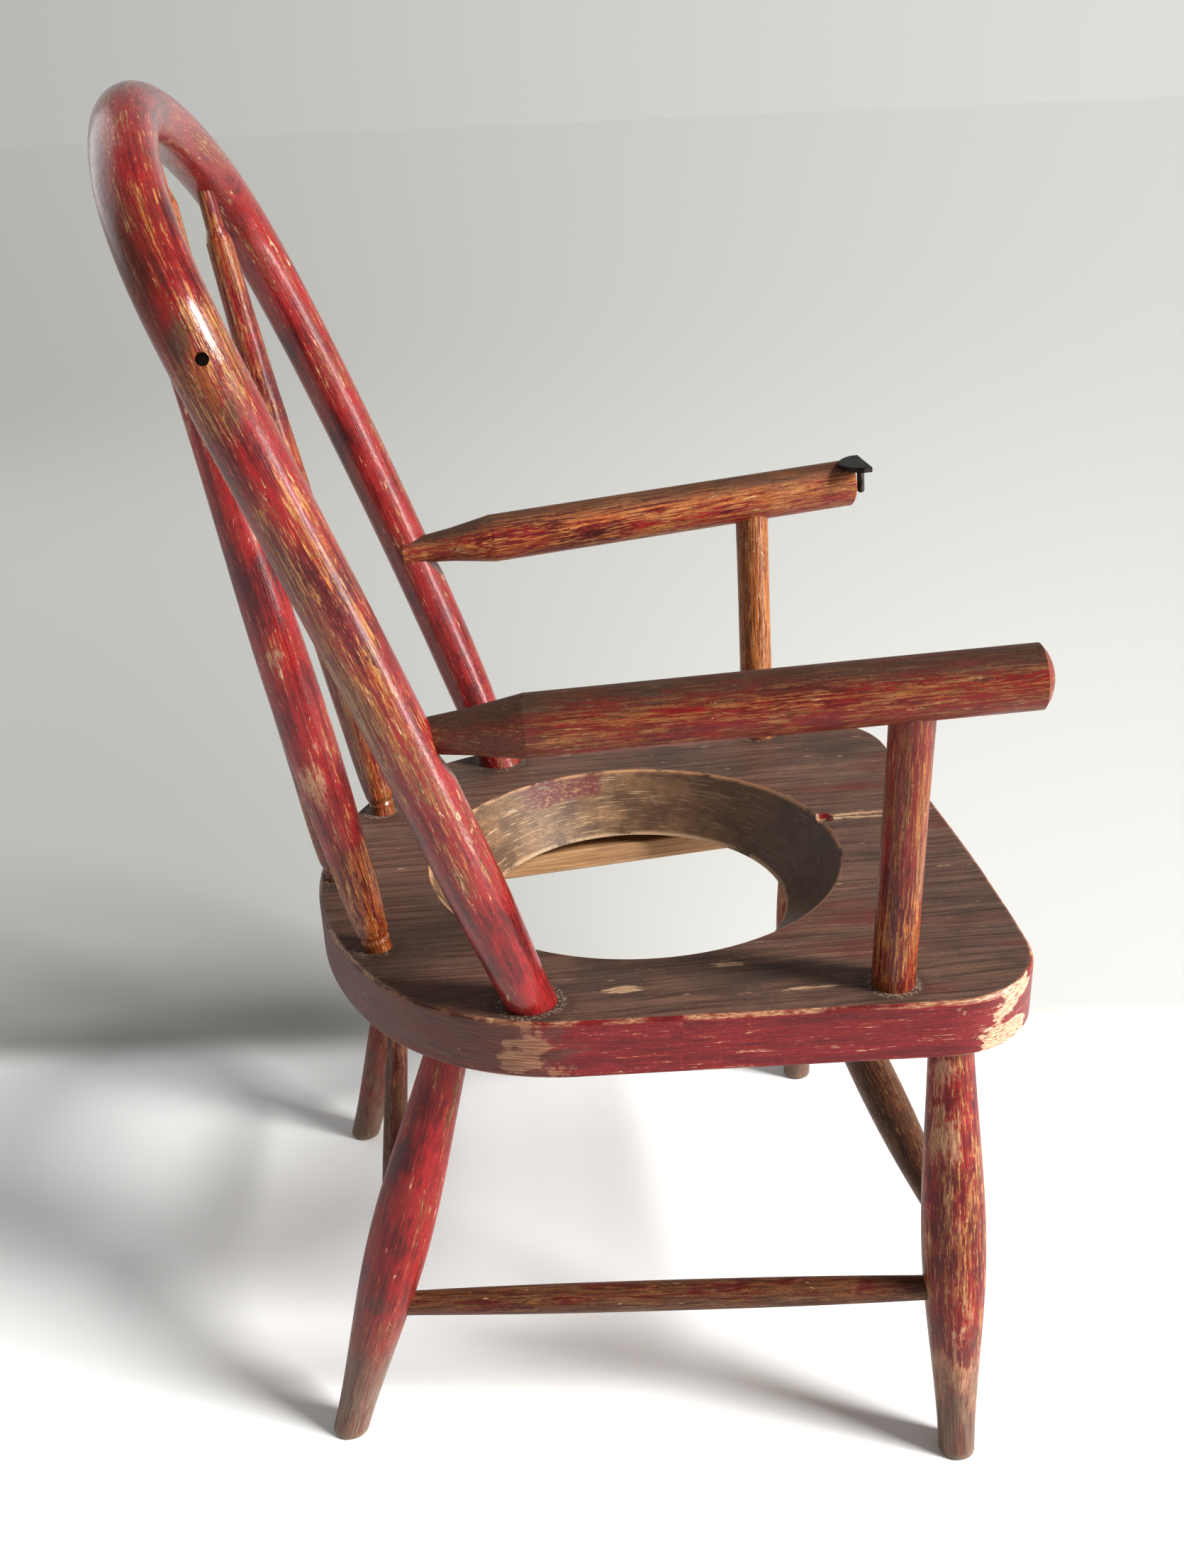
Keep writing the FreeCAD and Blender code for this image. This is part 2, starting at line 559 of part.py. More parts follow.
for which in ("right", "centre", "left"):
    make_spindle(which)


# ------------------------------------------------------------------------ arms
def post_axis(side):
    p = at(side * V["post_x"], V["post_y"], TOP)
    a, d, length = arm_axis(side)
    # foot of the post aims at the arm's axis
    t = (at(0, V["post_top_y"], 0).y - a.y) / d.y
    q = a.add(Vector(d).multiply(t))
    return p, q


def make_arm(side, word):
    a, d, length = arm_axis(side)
    body = doc.addObject("PartDesign::Body", "arm_%s_turning" % word)
    tip = "dims.arm_tenon"
    run = "dims.arm_tenon + dims.arm_taper"
    full = "%s + %.4f" % (run, length)
    if side > 0:
        full += " + dims.arm_left_extra"
    waist = "dims.arm_tenon + %.4f" % (V["arm_taper"] - V["arm_waist"])
    st = [("0.0", "dims.arm_tip_r"), (tip, "dims.arm_tip_r"), (waist, "dims.arm_waist_r"), (run, "dims.arm_r"), (full, "dims.arm_r")]
    if side > 0:
        # the left arm's end is sawn square with a small bevel
        st[-1:] = [(full + " + -1 * dims.arm_left_arris", "dims.arm_r"), (full, "dims.arm_r + -1 * dims.arm_left_arris")]
    rev = turned_straight(body, "arm_%s_round" % word, st)
    body.Placement = Placement(a.sub(Vector(d).multiply(V["arm_taper"] + V["arm_tenon"])), Rotation(Vector(0, 0, 1), d))
    doc.recompute()
    end = number(full)
    if side < 0:
        # domed end: a spherical cap of the stated rise
        rise, r = V["arm_dome"], V["arm_r"]
        cap_r = (r * r + rise * rise) / (2 * rise)
        sk = new_sketch(body, "arm_right_dome_profile", "XZ_Plane")
        centre = Vector(0, end + rise - cap_r, 0)
        a0 = math.atan2(end - centre.y, r)
        sk.addGeometry(Part.ArcOfCircle(Part.Circle(centre, Vector(0, 0, 1), cap_r), a0, math.pi / 2), False)
        sk.addGeometry(Part.LineSegment(Vector(0, end + rise, 0), Vector(0, end, 0)), False)
        sk.addGeometry(Part.LineSegment(Vector(0, end, 0), Vector(r, end, 0)), False)
        sk.addConstraint(Sketcher.Constraint("Coincident", 0, 2, 1, 1))
        sk.addConstraint(Sketcher.Constraint("Coincident", 1, 2, 2, 1))
        sk.addConstraint(Sketcher.Constraint("Coincident", 2, 2, 0, 1))
        sk.addConstraint(Sketcher.Constraint("PointOnObject", 1, 1, -2))
        sk.addConstraint(Sketcher.Constraint("PointOnObject", 1, 2, -2))
        sk.addConstraint(Sketcher.Constraint("PointOnObject", 0, 3, -2))
        sk.addConstraint(Sketcher.Constraint("Horizontal", 2))
        c = sk.addConstraint(Sketcher.Constraint("DistanceX", -1, 1, 2, 2, r))
        sk.setExpression("Constraints[%d]" % c, "dims.arm_r")
        c = sk.addConstraint(Sketcher.Constraint("DistanceY", -1, 1, 2, 2, end))
        sk.setExpression("Constraints[%d]" % c, full)
        c = sk.addConstraint(Sketcher.Constraint("DistanceY", 1, 2, 1, 1, rise))
        sk.setExpression("Constraints[%d]" % c, "dims.arm_dome")
        dome = body.newObject("PartDesign::Revolution", "arm_right_dome")
        dome.Profile = sk
        dome.ReferenceAxis = (sk, ["V_Axis"])
        dome.Angle = 360.0
        body.Tip = dome
        doc.recompute()
    p, q = post_axis(side)
    pd = q.sub(p)
    pd.normalize()
    high = V["arm_r"] - V["post_tenon_high"]
    tools = [cylinder("arm_%s_post_socket" % word, "dims.post_tenon_r", "60",
                      Placement(q.sub(Vector(pd).multiply(high + 60)), Rotation(Vector(0, 0, 1), pd)))]
    if side > 0:
        tools.append(KEEPER)   # the plate is let into the arm and its spike driven in
    c = cut("arm_%s_cut" % word, body, tools)
    return node(c, "arm_" + word)


# ---------------------------------------------------------- iron keeper (left)
def keeper_frame():
    """Origin at the middle of the plate's underside over the arm's end; X to the left, Y to the front, Z square to the arm's back."""
    a, d, length = arm_axis(1)
    end = a.add(Vector(d).multiply(length + V["arm_left_extra"]))
    up = Vector(0, 0, 1).sub(Vector(d).multiply(d.z))
    up.normalize()
    x = Vector(1, 0, 0).sub(Vector(up).multiply(up.x))
    x.normalize()
    front = x.cross(up)
    if front.y > 0:
        front = front.multiply(-1)
    base = end.add(Vector(up).multiply(V["arm_r"] - V["keeper_bed"])).sub(Vector(x).multiply(V["keeper_side"]))
    # right-handed set: X right of the drawing, Y back, Z up
    return base, x, front, up


def keeper_place(dx, dfront, dup, down=False):
    base, x, front, up = keeper_frame()
    p = base.add(Vector(x).multiply(dx)).add(Vector(front).multiply(dfront)).add(Vector(up).multiply(dup))
    back = Vector(front).multiply(-1)
    if down:
        m = FreeCAD.Matrix(x.x, -back.x, -up.x, p.x, x.y, -back.y, -up.y, p.y, x.z, -back.z, -up.z, p.z, 0, 0, 0, 1)
    else:
        m = FreeCAD.Matrix(x.x, back.x, up.x, p.x, x.y, back.y, up.y, p.y, x.z, back.z, up.z, p.z, 0, 0, 0, 1)
    return Placement(m)


def make_keeper():
    body = doc.addObject("PartDesign::Body", "keeper_plate")
    sk = new_sketch(body, "keeper_outline", "XY_Plane")
    w, L, over = V["keeper_wide"], V["keeper_long"], V["keeper_over"]
    # straight front edge on the X axis, short straight sides, rounded back
    r = w / 2.0
    side = L - r * 0.62
    bulge = L - side
    R = (r * r + bulge * bulge) / (2 * bulge)
    cy = L - R
    ang = math.asin((side - cy) / R)
    sk.addGeometry(Part.LineSegment(Vector(-r, 0, 0), Vector(r, 0, 0)), False)
    sk.addGeometry(Part.LineSegment(Vector(r, 0, 0), Vector(r, side, 0)), False)
    sk.addGeometry(Part.ArcOfCircle(Part.Circle(Vector(0, cy, 0), Vector(0, 0, 1), R), ang, math.pi - ang), False)
    sk.addGeometry(Part.LineSegment(Vector(-r, side, 0), Vector(-r, 0, 0)), False)
    for i in range(4):
        sk.addConstraint(Sketcher.Constraint("Coincident", i, 2, (i + 1) % 4, 1))
    sk.addConstraint(Sketcher.Constraint("PointOnObject", 0, 1, -1))
    sk.addConstraint(Sketcher.Constraint("PointOnObject", 0, 2, -1))
    sk.addConstraint(Sketcher.Constraint("Vertical", 1))
    sk.addConstraint(Sketcher.Constraint("Vertical", 3))
    sk.addConstraint(Sketcher.Constraint("PointOnObject", 2, 3, -2))
    c = sk.addConstraint(Sketcher.Constraint("DistanceX", 0, 1, 0, 2, w))
    sk.setExpression("Constraints[%d]" % c, "dims.keeper_wide")
    c = sk.addConstraint(Sketcher.Constraint("DistanceY", 1, 1, 1, 2, side))
    sk.setExpression("Constraints[%d]" % c, "dims.keeper_long - dims.keeper_wide * 0.31")
    sk.addConstraint(Sketcher.Constraint("Radius", 2, R))
    pad = body.newObject("PartDesign::Pad", "keeper_pad")
    pad.Profile = sk
    pad.setExpression("Length", "dims.keeper_thick")
    doc.recompute()
    fil = body.newObject("PartDesign::Fillet", "keeper_worn")
    fil.Base = (pad, ["Edge%d" % (i + 1) for i, e in enumerate(pad.Shape.Edges)])
    fil.setExpression("Radius", "dims.keeper_soft")
    body.Tip = fil
    body.Placement = keeper_place(0, over, 0)
    # pin with a rounded tip, hanging in front of the arm's end
    pin = cylinder("keeper_pin", "dims.keeper_pin_r", "dims.keeper_pin_long + 1", keeper_place(0, V["keeper_pin_gap"], 1.0, True))
    doc.recompute()
    global PIN_TOP, PIN_TIP
    PIN_TOP, PIN_TIP = keeper_place(0, V["keeper_pin_gap"], 0).Base, pin.Placement.multVec(Vector(0, 0, V["keeper_pin_long"] + 1))
    pin_round = round_edges("keeper_pin_round", pin, lambda e: e.BoundBox.Center.sub(PIN_TIP).Length < 1.0, V["keeper_pin_r"] * 0.85)
    neck = doc.addObject("Part::Cone", "keeper_neck")
    neck.setExpression("Radius1", "dims.keeper_pin_r * 1.3")
    neck.setExpression("Radius2", "dims.keeper_pin_r")
    neck.Height = 3.4
    neck.Placement = keeper_place(0, V["keeper_pin_gap"], 0.6, True)
    spike = doc.addObject("Part::Cone", "keeper_spike")
    spike.setExpression("Radius1", "dims.keeper_spike_r")
    spike.Radius2 = 0.4
    spike.setExpression("Height", "dims.keeper_spike_long")
    spike.Placement = keeper_place(5.5, -4.2, 0, True)
    root = cylinder("keeper_spike_root", "dims.keeper_spike_r", "1.4", keeper_place(5.5, -4.2, 1.4, True))
    return node(fuse("bar_keeper_node", [body, pin_round, neck, spike, root]), "bar_keeper")


KEEPER = make_keeper()
make_arm(-1, "right")
make_arm(1, "left")


# ----------------------------------------------------------------------- posts
def make_post(side, word):
    p, q = post_axis(side)
    d = q.sub(p)
    length = d.Length
    d.normalize()
    body = doc.addObject("PartDesign::Body", "post_%s_shaft" % word)
    extra = 14.0
    st = [("0.0", "dims.post_r"), ("30.0", "dims.post_r"), ("%.4f" % (extra + length * 0.55), "dims.post_waist_r"), ("%.4f" % (extra + length), "dims.post_r")]
    rev = turned_belly(body, "post_%s_round" % word, st)
    body.Tip = rev
    body.Placement = Placement(p.sub(Vector(d).multiply(extra)), Rotation(Vector(0, 0, 1), d))
    block = doc.addObject("Part::Box", "post_%s_foot_cut" % word)
    block.Length, block.Width, block.Height = 70, 70, 60
    block.Placement = Placement(Vector(p.x - 35, p.y - 35, TOP - 60), Rotation())
    a, ad, alen = arm_axis(side)
    core = cylinder("post_%s_arm_cut" % word, "dims.arm_r", "%.4f" % (alen + 40), Placement(a, Rotation(Vector(0, 0, 1), ad)))
    shaft = cut("post_%s_coped" % word, body, [block, core])
    high = V["arm_r"] - V["post_tenon_high"]
    tenon = cylinder("post_%s_tenon" % word, "dims.post_tenon_r", "%.4f" % (V["post_tenon_low"] - 2.0 + length - high),
                     Placement(p.sub(Vector(d).multiply(V["post_tenon_low"] - 2.0)), Rotation(Vector(0, 0, 1), d)))
    f = fuse("arm_post_%s_node" % word, [shaft, tenon])
    return node(f, "arm_post_" + word)


make_post(-1, "right")
make_post(1, "left")


# ---------------------------------------------------------------- pot runners
def runner_frame(side):
    """Origin at the lip's lower inner edge at the middle of the runner; X outwards, Y back, Z up."""
    ang = math.radians(V["runner_angle"])
    dy = V["runner_y"] - V["opening_y"]
    x = V["runner_x"] - dy * math.tan(ang)
    o = at(side * x, V["runner_y"], UNDER - V["runner_high"])
    out = Vector(side * math.cos(ang), math.sin(ang), 0)
    back = Vector(-side * math.sin(ang), math.cos(ang), 0)
    return o, out, back


def runner_matrix(side):
    o, out, back = runner_frame(side)
    if side > 0:
        m = FreeCAD.Matrix(out.x, back.x, 0, o.x, out.y, back.y, 0, o.y, 0, 0, 1, o.z, 0, 0, 0, 1)
    else:
        # the right runner is the same section turned end for end
        m = FreeCAD.Matrix(-(-out.x) * 1.0, -back.x, 0, o.x, out.y, -back.y, 0, o.y, 0, 0, 1, o.z, 0, 0, 0, 1)
        m = FreeCAD.Matrix(out.x, -back.x, 0, o.x, out.y, -back.y, 0, o.y, 0, 0, 1, o.z, 0, 0, 0, 1)
    return Placement(m)


def screw_spots(side):
    o, out, back = runner_frame(side)
    for k in (-1, 0, 1):
        yield o.add(Vector(out).multiply(V["screw_inset"])).add(Vector(back).multiply(k * V["screw_pitch"]))


def make_runner(side, word):
    body = doc.addObject("PartDesign::Body", "runner_%s_stock" % word)
    sk = new_sketch(body, "runner_%s_section" % word, "XZ_Plane")
    w, hgt, lip, slot = V["runner_wide"], V["runner_high"], V["runner_lip"], V["runner_slot"]
    pts = [(0, 0), (w, 0), (w, hgt), (lip, hgt), (lip, hgt - slot), (0, hgt - slot)]
    n = len(pts)
    for i in range(n):
        a, b = pts[i], pts[(i + 1) % n]
        sk.addGeometry(Part.LineSegment(Vector(a[0], a[1], 0), Vector(b[0], b[1], 0)), False)
    for i in range(n):
        sk.addConstraint(Sketcher.Constraint("Coincident", i, 2, (i + 1) % n, 1))
    for i in (0, 2, 4):
        sk.addConstraint(Sketcher.Constraint("Horizontal", i))
    for i in (1, 3, 5):
        sk.addConstraint(Sketcher.Constraint("Vertical", i))
    sk.addConstraint(Sketcher.Constraint("Coincident", 0, 1, -1, 1))
    for args, cell in ((("DistanceX", 0, 1, 0, 2, w), "runner_wide"), (("DistanceY", 1, 1, 1, 2, hgt), "runner_high"),
                       (("DistanceX", 4, 2, 4, 1, lip), "runner_lip"), (("DistanceY", 3, 2, 3, 1, slot), "runner_slot")):
        c = sk.addConstraint(Sketcher.Constraint(*args))
        sk.setExpression("Constraints[%d]" % c, "dims." + cell)
    pad = body.newObject("PartDesign::Pad", "runner_%s_pad" % word)
    pad.Profile = sk
    pad.setExpression("Length", "dims.runner_long")
    pad.Midplane = True
    doc.recompute()
    ch = body.newObject("PartDesign::Chamfer", "runner_%s_arris" % word)
    long_edges = ["Edge%d" % (i + 1) for i, e in enumerate(pad.Shape.Edges)
                  if e.Length > V["runner_long"] - 1 and e.CenterOfMass.z < hgt - 0.1 and not (abs(e.CenterOfMass.x - lip) < 0.01)]
    ch.Base = (pad, long_edges)
    ch.Size = V["runner_arris"]
    body.Tip = ch
    body.Placement = runner_matrix(side)
    tools = []
    for k, s in enumerate(screw_spots(side)):
        hole = cylinder("runner_%s_hole_%d" % (word, k), "dims.screw_r", "dims.runner_high + 2", Placement(s.sub(Vector(0, 0, 1)), Rotation()))
        sink = doc.addObject("Part::Cone", "runner_%s_sink_%d" % (word, k))
        sink.setExpression("Radius1", "dims.screw_head_r")
        sink.setExpression("Radius2", "dims.screw_r")
        sink.setExpression("Height", "dims.screw_head_high")
        sink.Placement = Placement(s, Rotation())
        tools += [hole, sink]
    c = cut("runner_%s_node" % word, body, tools)
    return node(c, "pot_runner_" + word)


make_runner(-1, "right")
make_runner(1, "left")


# --------------------------------------------------------------- runner screws
screw = doc.addObject("PartDesign::Body", "screw_master")
turned_straight(screw, "screw_turning",
                [("0.0", "dims.screw_head_r"), ("dims.screw_head_high", "dims.screw_r"),
                 ("%.3f" % (V["screw_long"] - 5.0), "dims.screw_r"), ("%.3f" % V["screw_long"], "0.3")])
slot_sk = new_sketch(screw, "screw_slot_outline", "XY_Plane")
hw, hl = V["screw_slot_w"] / 2.0, V["screw_head_r"] + 1.0
corner = [(-hl, -hw), (hl, -hw), (hl, hw), (-hl, hw)]
for i in range(4):
    a, b = corner[i], corner[(i + 1) % 4]
    slot_sk.addGeometry(Part.LineSegment(Vector(a[0], a[1], 0), Vector(b[0], b[1], 0)), False)
for i in range(4):
    slot_sk.addConstraint(Sketcher.Constraint("Coincident", i, 2, (i + 1) % 4, 1))
for i in (0, 2):
    slot_sk.addConstraint(Sketcher.Constraint("Horizontal", i))
for i in (1, 3):
    slot_sk.addConstraint(Sketcher.Constraint("Vertical", i))
slot_sk.addConstraint(Sketcher.Constraint("Symmetric", 0, 1, 2, 1, -1, 1))
c = slot_sk.addConstraint(Sketcher.Constraint("DistanceY", 1, 1, 1, 2, V["screw_slot_w"]))
slot_sk.setExpression("Constraints[%d]" % c, "dims.screw_slot_w")
c = slot_sk.addConstraint(Sketcher.Constraint("DistanceX", 0, 1, 0, 2, 2 * hl))
slot = screw.newObject("PartDesign::Pocket", "screw_slot")
slot.Profile = slot_sk
slot.setExpression("Length", "dims.screw_slot_deep")
slot.Reversed = True
screw.Tip = slot
doc.recompute()
copies = []
for side in (-1, 1):
    for k, s in enumerate(screw_spots(side)):
        one = screw.Shape.copy()
        one.Placement = Placement(s, Rotation(Vector(0, 0, 1), 35.0 + 61.0 * k + 23.0 * side))
        copies.append(one)
screws = doc.addObject("Part::Feature", "runner_screws_node")
screws.Shape = Part.makeCompound(copies)
node(screws, "runner_screws")


# ------------------------------------------------------------------------ seat
def seat_outline(sk):
    """Outline with the middle of the front edge at the sketch's origin."""
    yb, R1, R2 = V["seat_depth"], V["seat_back_r"], V["seat_hip_r"]
    R3, R4 = V["seat_corner_r"], V["seat_front_r"]
    ang = math.radians(V["seat_side_angle"])
    dirv = (-math.cos(ang), math.sin(ang))          # up the right-hand side line
    nrm = (math.sin(ang), math.cos(ang))            # outward
    # front corner circle: inside the front arc and touching the side line at the stated half width
    # centre c3 = T3 - nrm*R3 with T3.x = half width; distance to c4 = R4 - R3
    x3 = V["seat_half_w"] - nrm[0] * R3
    y3 = R4 - math.sqrt((R4 - R3) ** 2 - x3 ** 2)
    T3 = (V["seat_half_w"], y3 + nrm[1] * R3)
    c3, c4 = (x3, y3), (0.0, R4)
    k = R4 / (R4 - R3)
    T4 = (c3[0] * k, c4[1] + (c3[1] - c4[1]) * k)
    # hip circle: touches the side line and lies inside the back arc
    c1 = (0.0, yb - R1)
    bx, by = T3[0] - nrm[0] * R2, T3[1] - nrm[1] * R2
    wx, wy = bx - c1[0], by - c1[1]
    b = wx * dirv[0] + wy * dirv[1]
    cc = wx * wx + wy * wy - (R1 - R2) ** 2
    t = -b + math.sqrt(b * b - cc)
    c2 = (bx + dirv[0] * t, by + dirv[1] * t)
    T2 = (c2[0] + nrm[0] * R2, c2[1] + nrm[1] * R2)
    k = R1 / (R1 - R2)
    T1 = (c1[0] + (c2[0] - c1[0]) * k, c1[1] + (c2[1] - c1[1]) * k)

    def arc(c, r, p, q):
        a0, a1 = math.atan2(p[1] - c[1], p[0] - c[0]), math.atan2(q[1] - c[1], q[0] - c[0])
        return Part.ArcOfCircle(Part.Circle(Vector(c[0], c[1], 0), Vector(0, 0, 1), r), a0, a1)

    m = lambda p: (-p[0], p[1])
    L = lambda p, q: Part.LineSegment(Vector(p[0], p[1], 0), Vector(q[0], q[1], 0))
    # anticlockwise from the right side of the back arc
    geo = [arc(c1, R1, T1, m(T1)), arc(m(c2), R2, m(T1), m(T2)), L(m(T2), m(T3)), arc(m(c3), R3, m(T3), m(T4)),
           arc(c4, R4, m(T4), T4), arc(c3, R3, T4, T3), L(T3, T2), arc(c2, R2, T2, T1)]
    for g in geo:
        sk.addGeometry(g, False)
    n = len(geo)
    for i in range(n):
        sk.addConstraint(Sketcher.Constraint("Tangent", i, 2, (i + 1) % n, 1))
    for i, cell in ((0, "seat_back_r"), (1, "seat_hip_r"), (3, "seat_corner_r"), (4, "seat_front_r"), (5, "seat_corner_r"), (7, "seat_hip_r")):
        c = sk.addConstraint(Sketcher.Constraint("Radius", i, V[cell]))
        sk.setExpression("Constraints[%d]" % c, "dims." + cell)
    sk.addConstraint(Sketcher.Constraint("PointOnObject", 0, 3, -2))
    sk.addConstraint(Sketcher.Constraint("PointOnObject", 4, 3, -2))
    c = sk.addConstraint(Sketcher.Constraint("DistanceY", -1, 1, 0, 3, c1[1]))
    sk.setExpression("Constraints[%d]" % c, "dims.seat_depth - dims.seat_back_r")
    c = sk.addConstraint(Sketcher.Constraint("DistanceY", -1, 1, 4, 3, R4))
    sk.setExpression("Constraints[%d]" % c, "dims.seat_front_r")
    c = sk.addConstraint(Sketcher.Constraint("DistanceX", -1, 1, 6, 1, T3[0]))
    sk.setExpression("Constraints[%d]" % c, "dims.seat_half_w")
    c = sk.addConstraint(Sketcher.Constraint("DistanceX", 2, 2, -1, 1, T3[0]))
    sk.setExpression("Constraints[%d]" % c, "dims.seat_half_w")


def make_plank(side, word):
    body = doc.addObject("PartDesign::Body", "plank_%s_blank" % word)
    sk = new_sketch(body, "plank_%s_outline" % word, "XY_Plane")
    seat_outline(sk)
    pad = body.newObject("PartDesign::Pad", "plank_%s_pad" % word)
    pad.Profile = sk
    pad.setExpression("Length", "dims.seat_thick")
    doc.recompute()
    t = V["seat_thick"]
    # worn arrises
    top = body.newObject("PartDesign::Fillet", "plank_%s_top_arris" % word)
    top.Base = (pad, ["Edge%d" % (i + 1) for i, e in enumerate(pad.Shape.Edges) if e.BoundBox.ZMin > t - 0.01])
    top.setExpression("Radius", "dims.seat_arris_top")
    doc.recompute()
    low = body.newObject("PartDesign::Fillet", "plank_%s_low_arris" % word)
    low.Base = (top, ["Edge%d" % (i + 1) for i, e in enumerate(top.Shape.Edges) if e.BoundBox.ZMax < 0.01])
    low.setExpression("Radius", "dims.seat_arris_low")
    doc.recompute()
    # saw the other plank away along the glue line
    cs = new_sketch(body, "plank_%s_saw" % word, "XY_Plane")
    j = V["plank_joint_x"]
    far = 260.0
    x0, x1 = (j, far) if side < 0 else (-far, j)
    corner = [(x0, -20.0), (x1, -20.0), (x1, 340.0), (x0, 340.0)]
    for i in range(4):
        a, b = corner[i], corner[(i + 1) % 4]
        cs.addGeometry(Part.LineSegment(Vector(a[0], a[1], 0), Vector(b[0], b[1], 0)), False)
    for i in range(4):
        cs.addConstraint(Sketcher.Constraint("Coincident", i, 2, (i + 1) % 4, 1))
    for i in (0, 2):
        cs.addConstraint(Sketcher.Constraint("Horizontal", i))
    for i in (1, 3):
        cs.addConstraint(Sketcher.Constraint("Vertical", i))
    edge = 3 if side < 0 else 1
    c = cs.addConstraint(Sketcher.Constraint("DistanceX", -1, 1, edge, 1, j))
    cs.setExpression("Constraints[%d]" % c, "dims.plank_joint_x")
    saw = body.newObject("PartDesign::Pocket", "plank_%s_half" % word)
    saw.Profile = cs
    saw.Type = "ThroughAll"
    saw.Reversed = True
    doc.recompute()
    eased = body.newObject("PartDesign::Chamfer", "plank_%s_joint_arris" % word)
    eased.Base = (saw, ["Edge%d" % (i + 1) for i, e in enumerate(saw.Shape.Edges)
                        if abs(e.CenterOfMass.x - j) < 0.01 and e.Length > 200 and e.BoundBox.ZMin > t - 0.5])
    eased.setExpression("Size", "dims.plank_joint_arris")
    body.Tip = eased
    body.Placement = Placement(at(0, V["seat_front_y"], UNDER), Rotation())
    doc.recompute()
    # tapered opening
    cone = doc.addObject("Part::Cone", "plank_%s_opening" % word)
    cone.setExpression("Radius1", "dims.opening_low_r - (dims.opening_top_r - dims.opening_low_r) / dims.seat_thick * 5")
    cone.setExpression("Radius2", "dims.opening_top_r + (dims.opening_top_r - dims.opening_low_r) / dims.seat_thick * 5")
    cone.setExpression("Height", "dims.seat_thick + 10")
    cone.Placement = Placement(at(0, V["opening_y"], UNDER - 5), Rotation())
    chip = doc.addObject("Part::Sphere", "plank_%s_chip" % word)
    chip.setExpression("Radius", "dims.chip_r")
    chip.Placement = Placement(at(j - 1.0, V["opening_y"] - math.sqrt(V["opening_top_r"] ** 2 - (j - 1.0) ** 2) - 1.0, TOP + 4.6), Rotation())
    opened = cut("plank_%s_opened" % word, body, [cone])
    rounded = round_edges("plank_%s_rim" % word, opened,
                          lambda e: abs(e.BoundBox.ZMin - TOP) < 0.05 and abs(e.BoundBox.ZMax - TOP) < 0.05 and
                          abs(Vector(e.CenterOfMass.x, e.CenterOfMass.y, 0).sub(at(0, V["opening_y"], 0)).Length) < 99 and
                          all(abs(Vector(v.X, v.Y, 0).sub(at(0, V["opening_y"], 0)).Length - V["opening_top_r"]) < 0.6 for v in e.Vertexes) and
                          e.Curve.TypeId == "Part::GeomCircle", V["opening_arris"])
    tools = [chip]
    for which in ("front_" + word, "back_" + word):
        a, b = FOOT[which]
        d = b.sub(a)
        d.normalize()
        hole = cylinder("leg_%s_seat_socket" % which, "dims.leg_rh", "80", Placement(b.sub(Vector(d).multiply(40)), Rotation(Vector(0, 0, 1), d)))
        crown = doc.addObject("Part::Box", "leg_%s_seat_stop" % which)
        crown.Length, crown.Width, crown.Height = 80, 80, 80
        crown.Placement = Placement(Vector(b.x - 40, b.y - 40, UNDER + V["leg_tenon"]), Rotation())
        blind = doc.addObject("Part::Cut", "leg_%s_blind" % which)
        blind.Base = hole
        blind.Tool = crown
        tools.append(blind)
    # bow socket
    low, high = (stations[0], stations[3]) if side < 0 else (stations[-1], stations[-4])
    end, mouth = bow_point(low[0], low[1]), bow_point(high[0], high[1])
    tools.append(cylinder("bow_%s_seat_socket" % word, "dims.bow_foot_r + 0.1", "60", along(end, mouth)))
    # spindles
    for which in ((word, "centre") if side < 0 else (word,)):
        a, b = spindle_axis(which)
        d = b.sub(a)
        d.normalize()
        tools.append(cylinder("spindle_%s_seat_socket" % which, "dims.spindle_ra", "dims.spindle_tenon + 30",
                              Placement(a.sub(Vector(d).multiply(V["spindle_tenon"])), Rotation(Vector(0, 0, 1), d))))
    # arm post
    a, b = post_axis(side)
    d = b.sub(a)
    d.normalize()
    tools.append(cylinder("post_%s_seat_socket" % word, "dims.post_tenon_r", "dims.post_tenon_low + 30",
                          Placement(a.sub(Vector(d).multiply(V["post_tenon_low"] - 2.0)), Rotation(Vector(0, 0, 1), d))))
    # pilot holes of the runner screws
    for k, s in enumerate(screw_spots(side)):
        pilot = doc.addObject("Part::Cone", "pilot_%s_%d" % (word, k))
        depth = V["screw_long"] - V["runner_high"]
        pilot.setExpression("Radius1", "dims.screw_r")
        pilot.Radius2 = 0.3
        pilot.Height = 5.0
        pilot.Placement = Placement(Vector(s.x, s.y, UNDER + depth - 5.0), Rotation())
        shank = cylinder("pilot_shank_%s_%d" % (word, k), "dims.screw_r", "%.4f" % depth, Placement(Vector(s.x, s.y, UNDER - 5.0), Rotation()))
        tools += [pilot, shank]
    c = cut("plank_%s_node" % word, rounded, tools)
    return node(c, "seat_plank_" + word)


make_plank(-1, "right")
make_plank(1, "left")

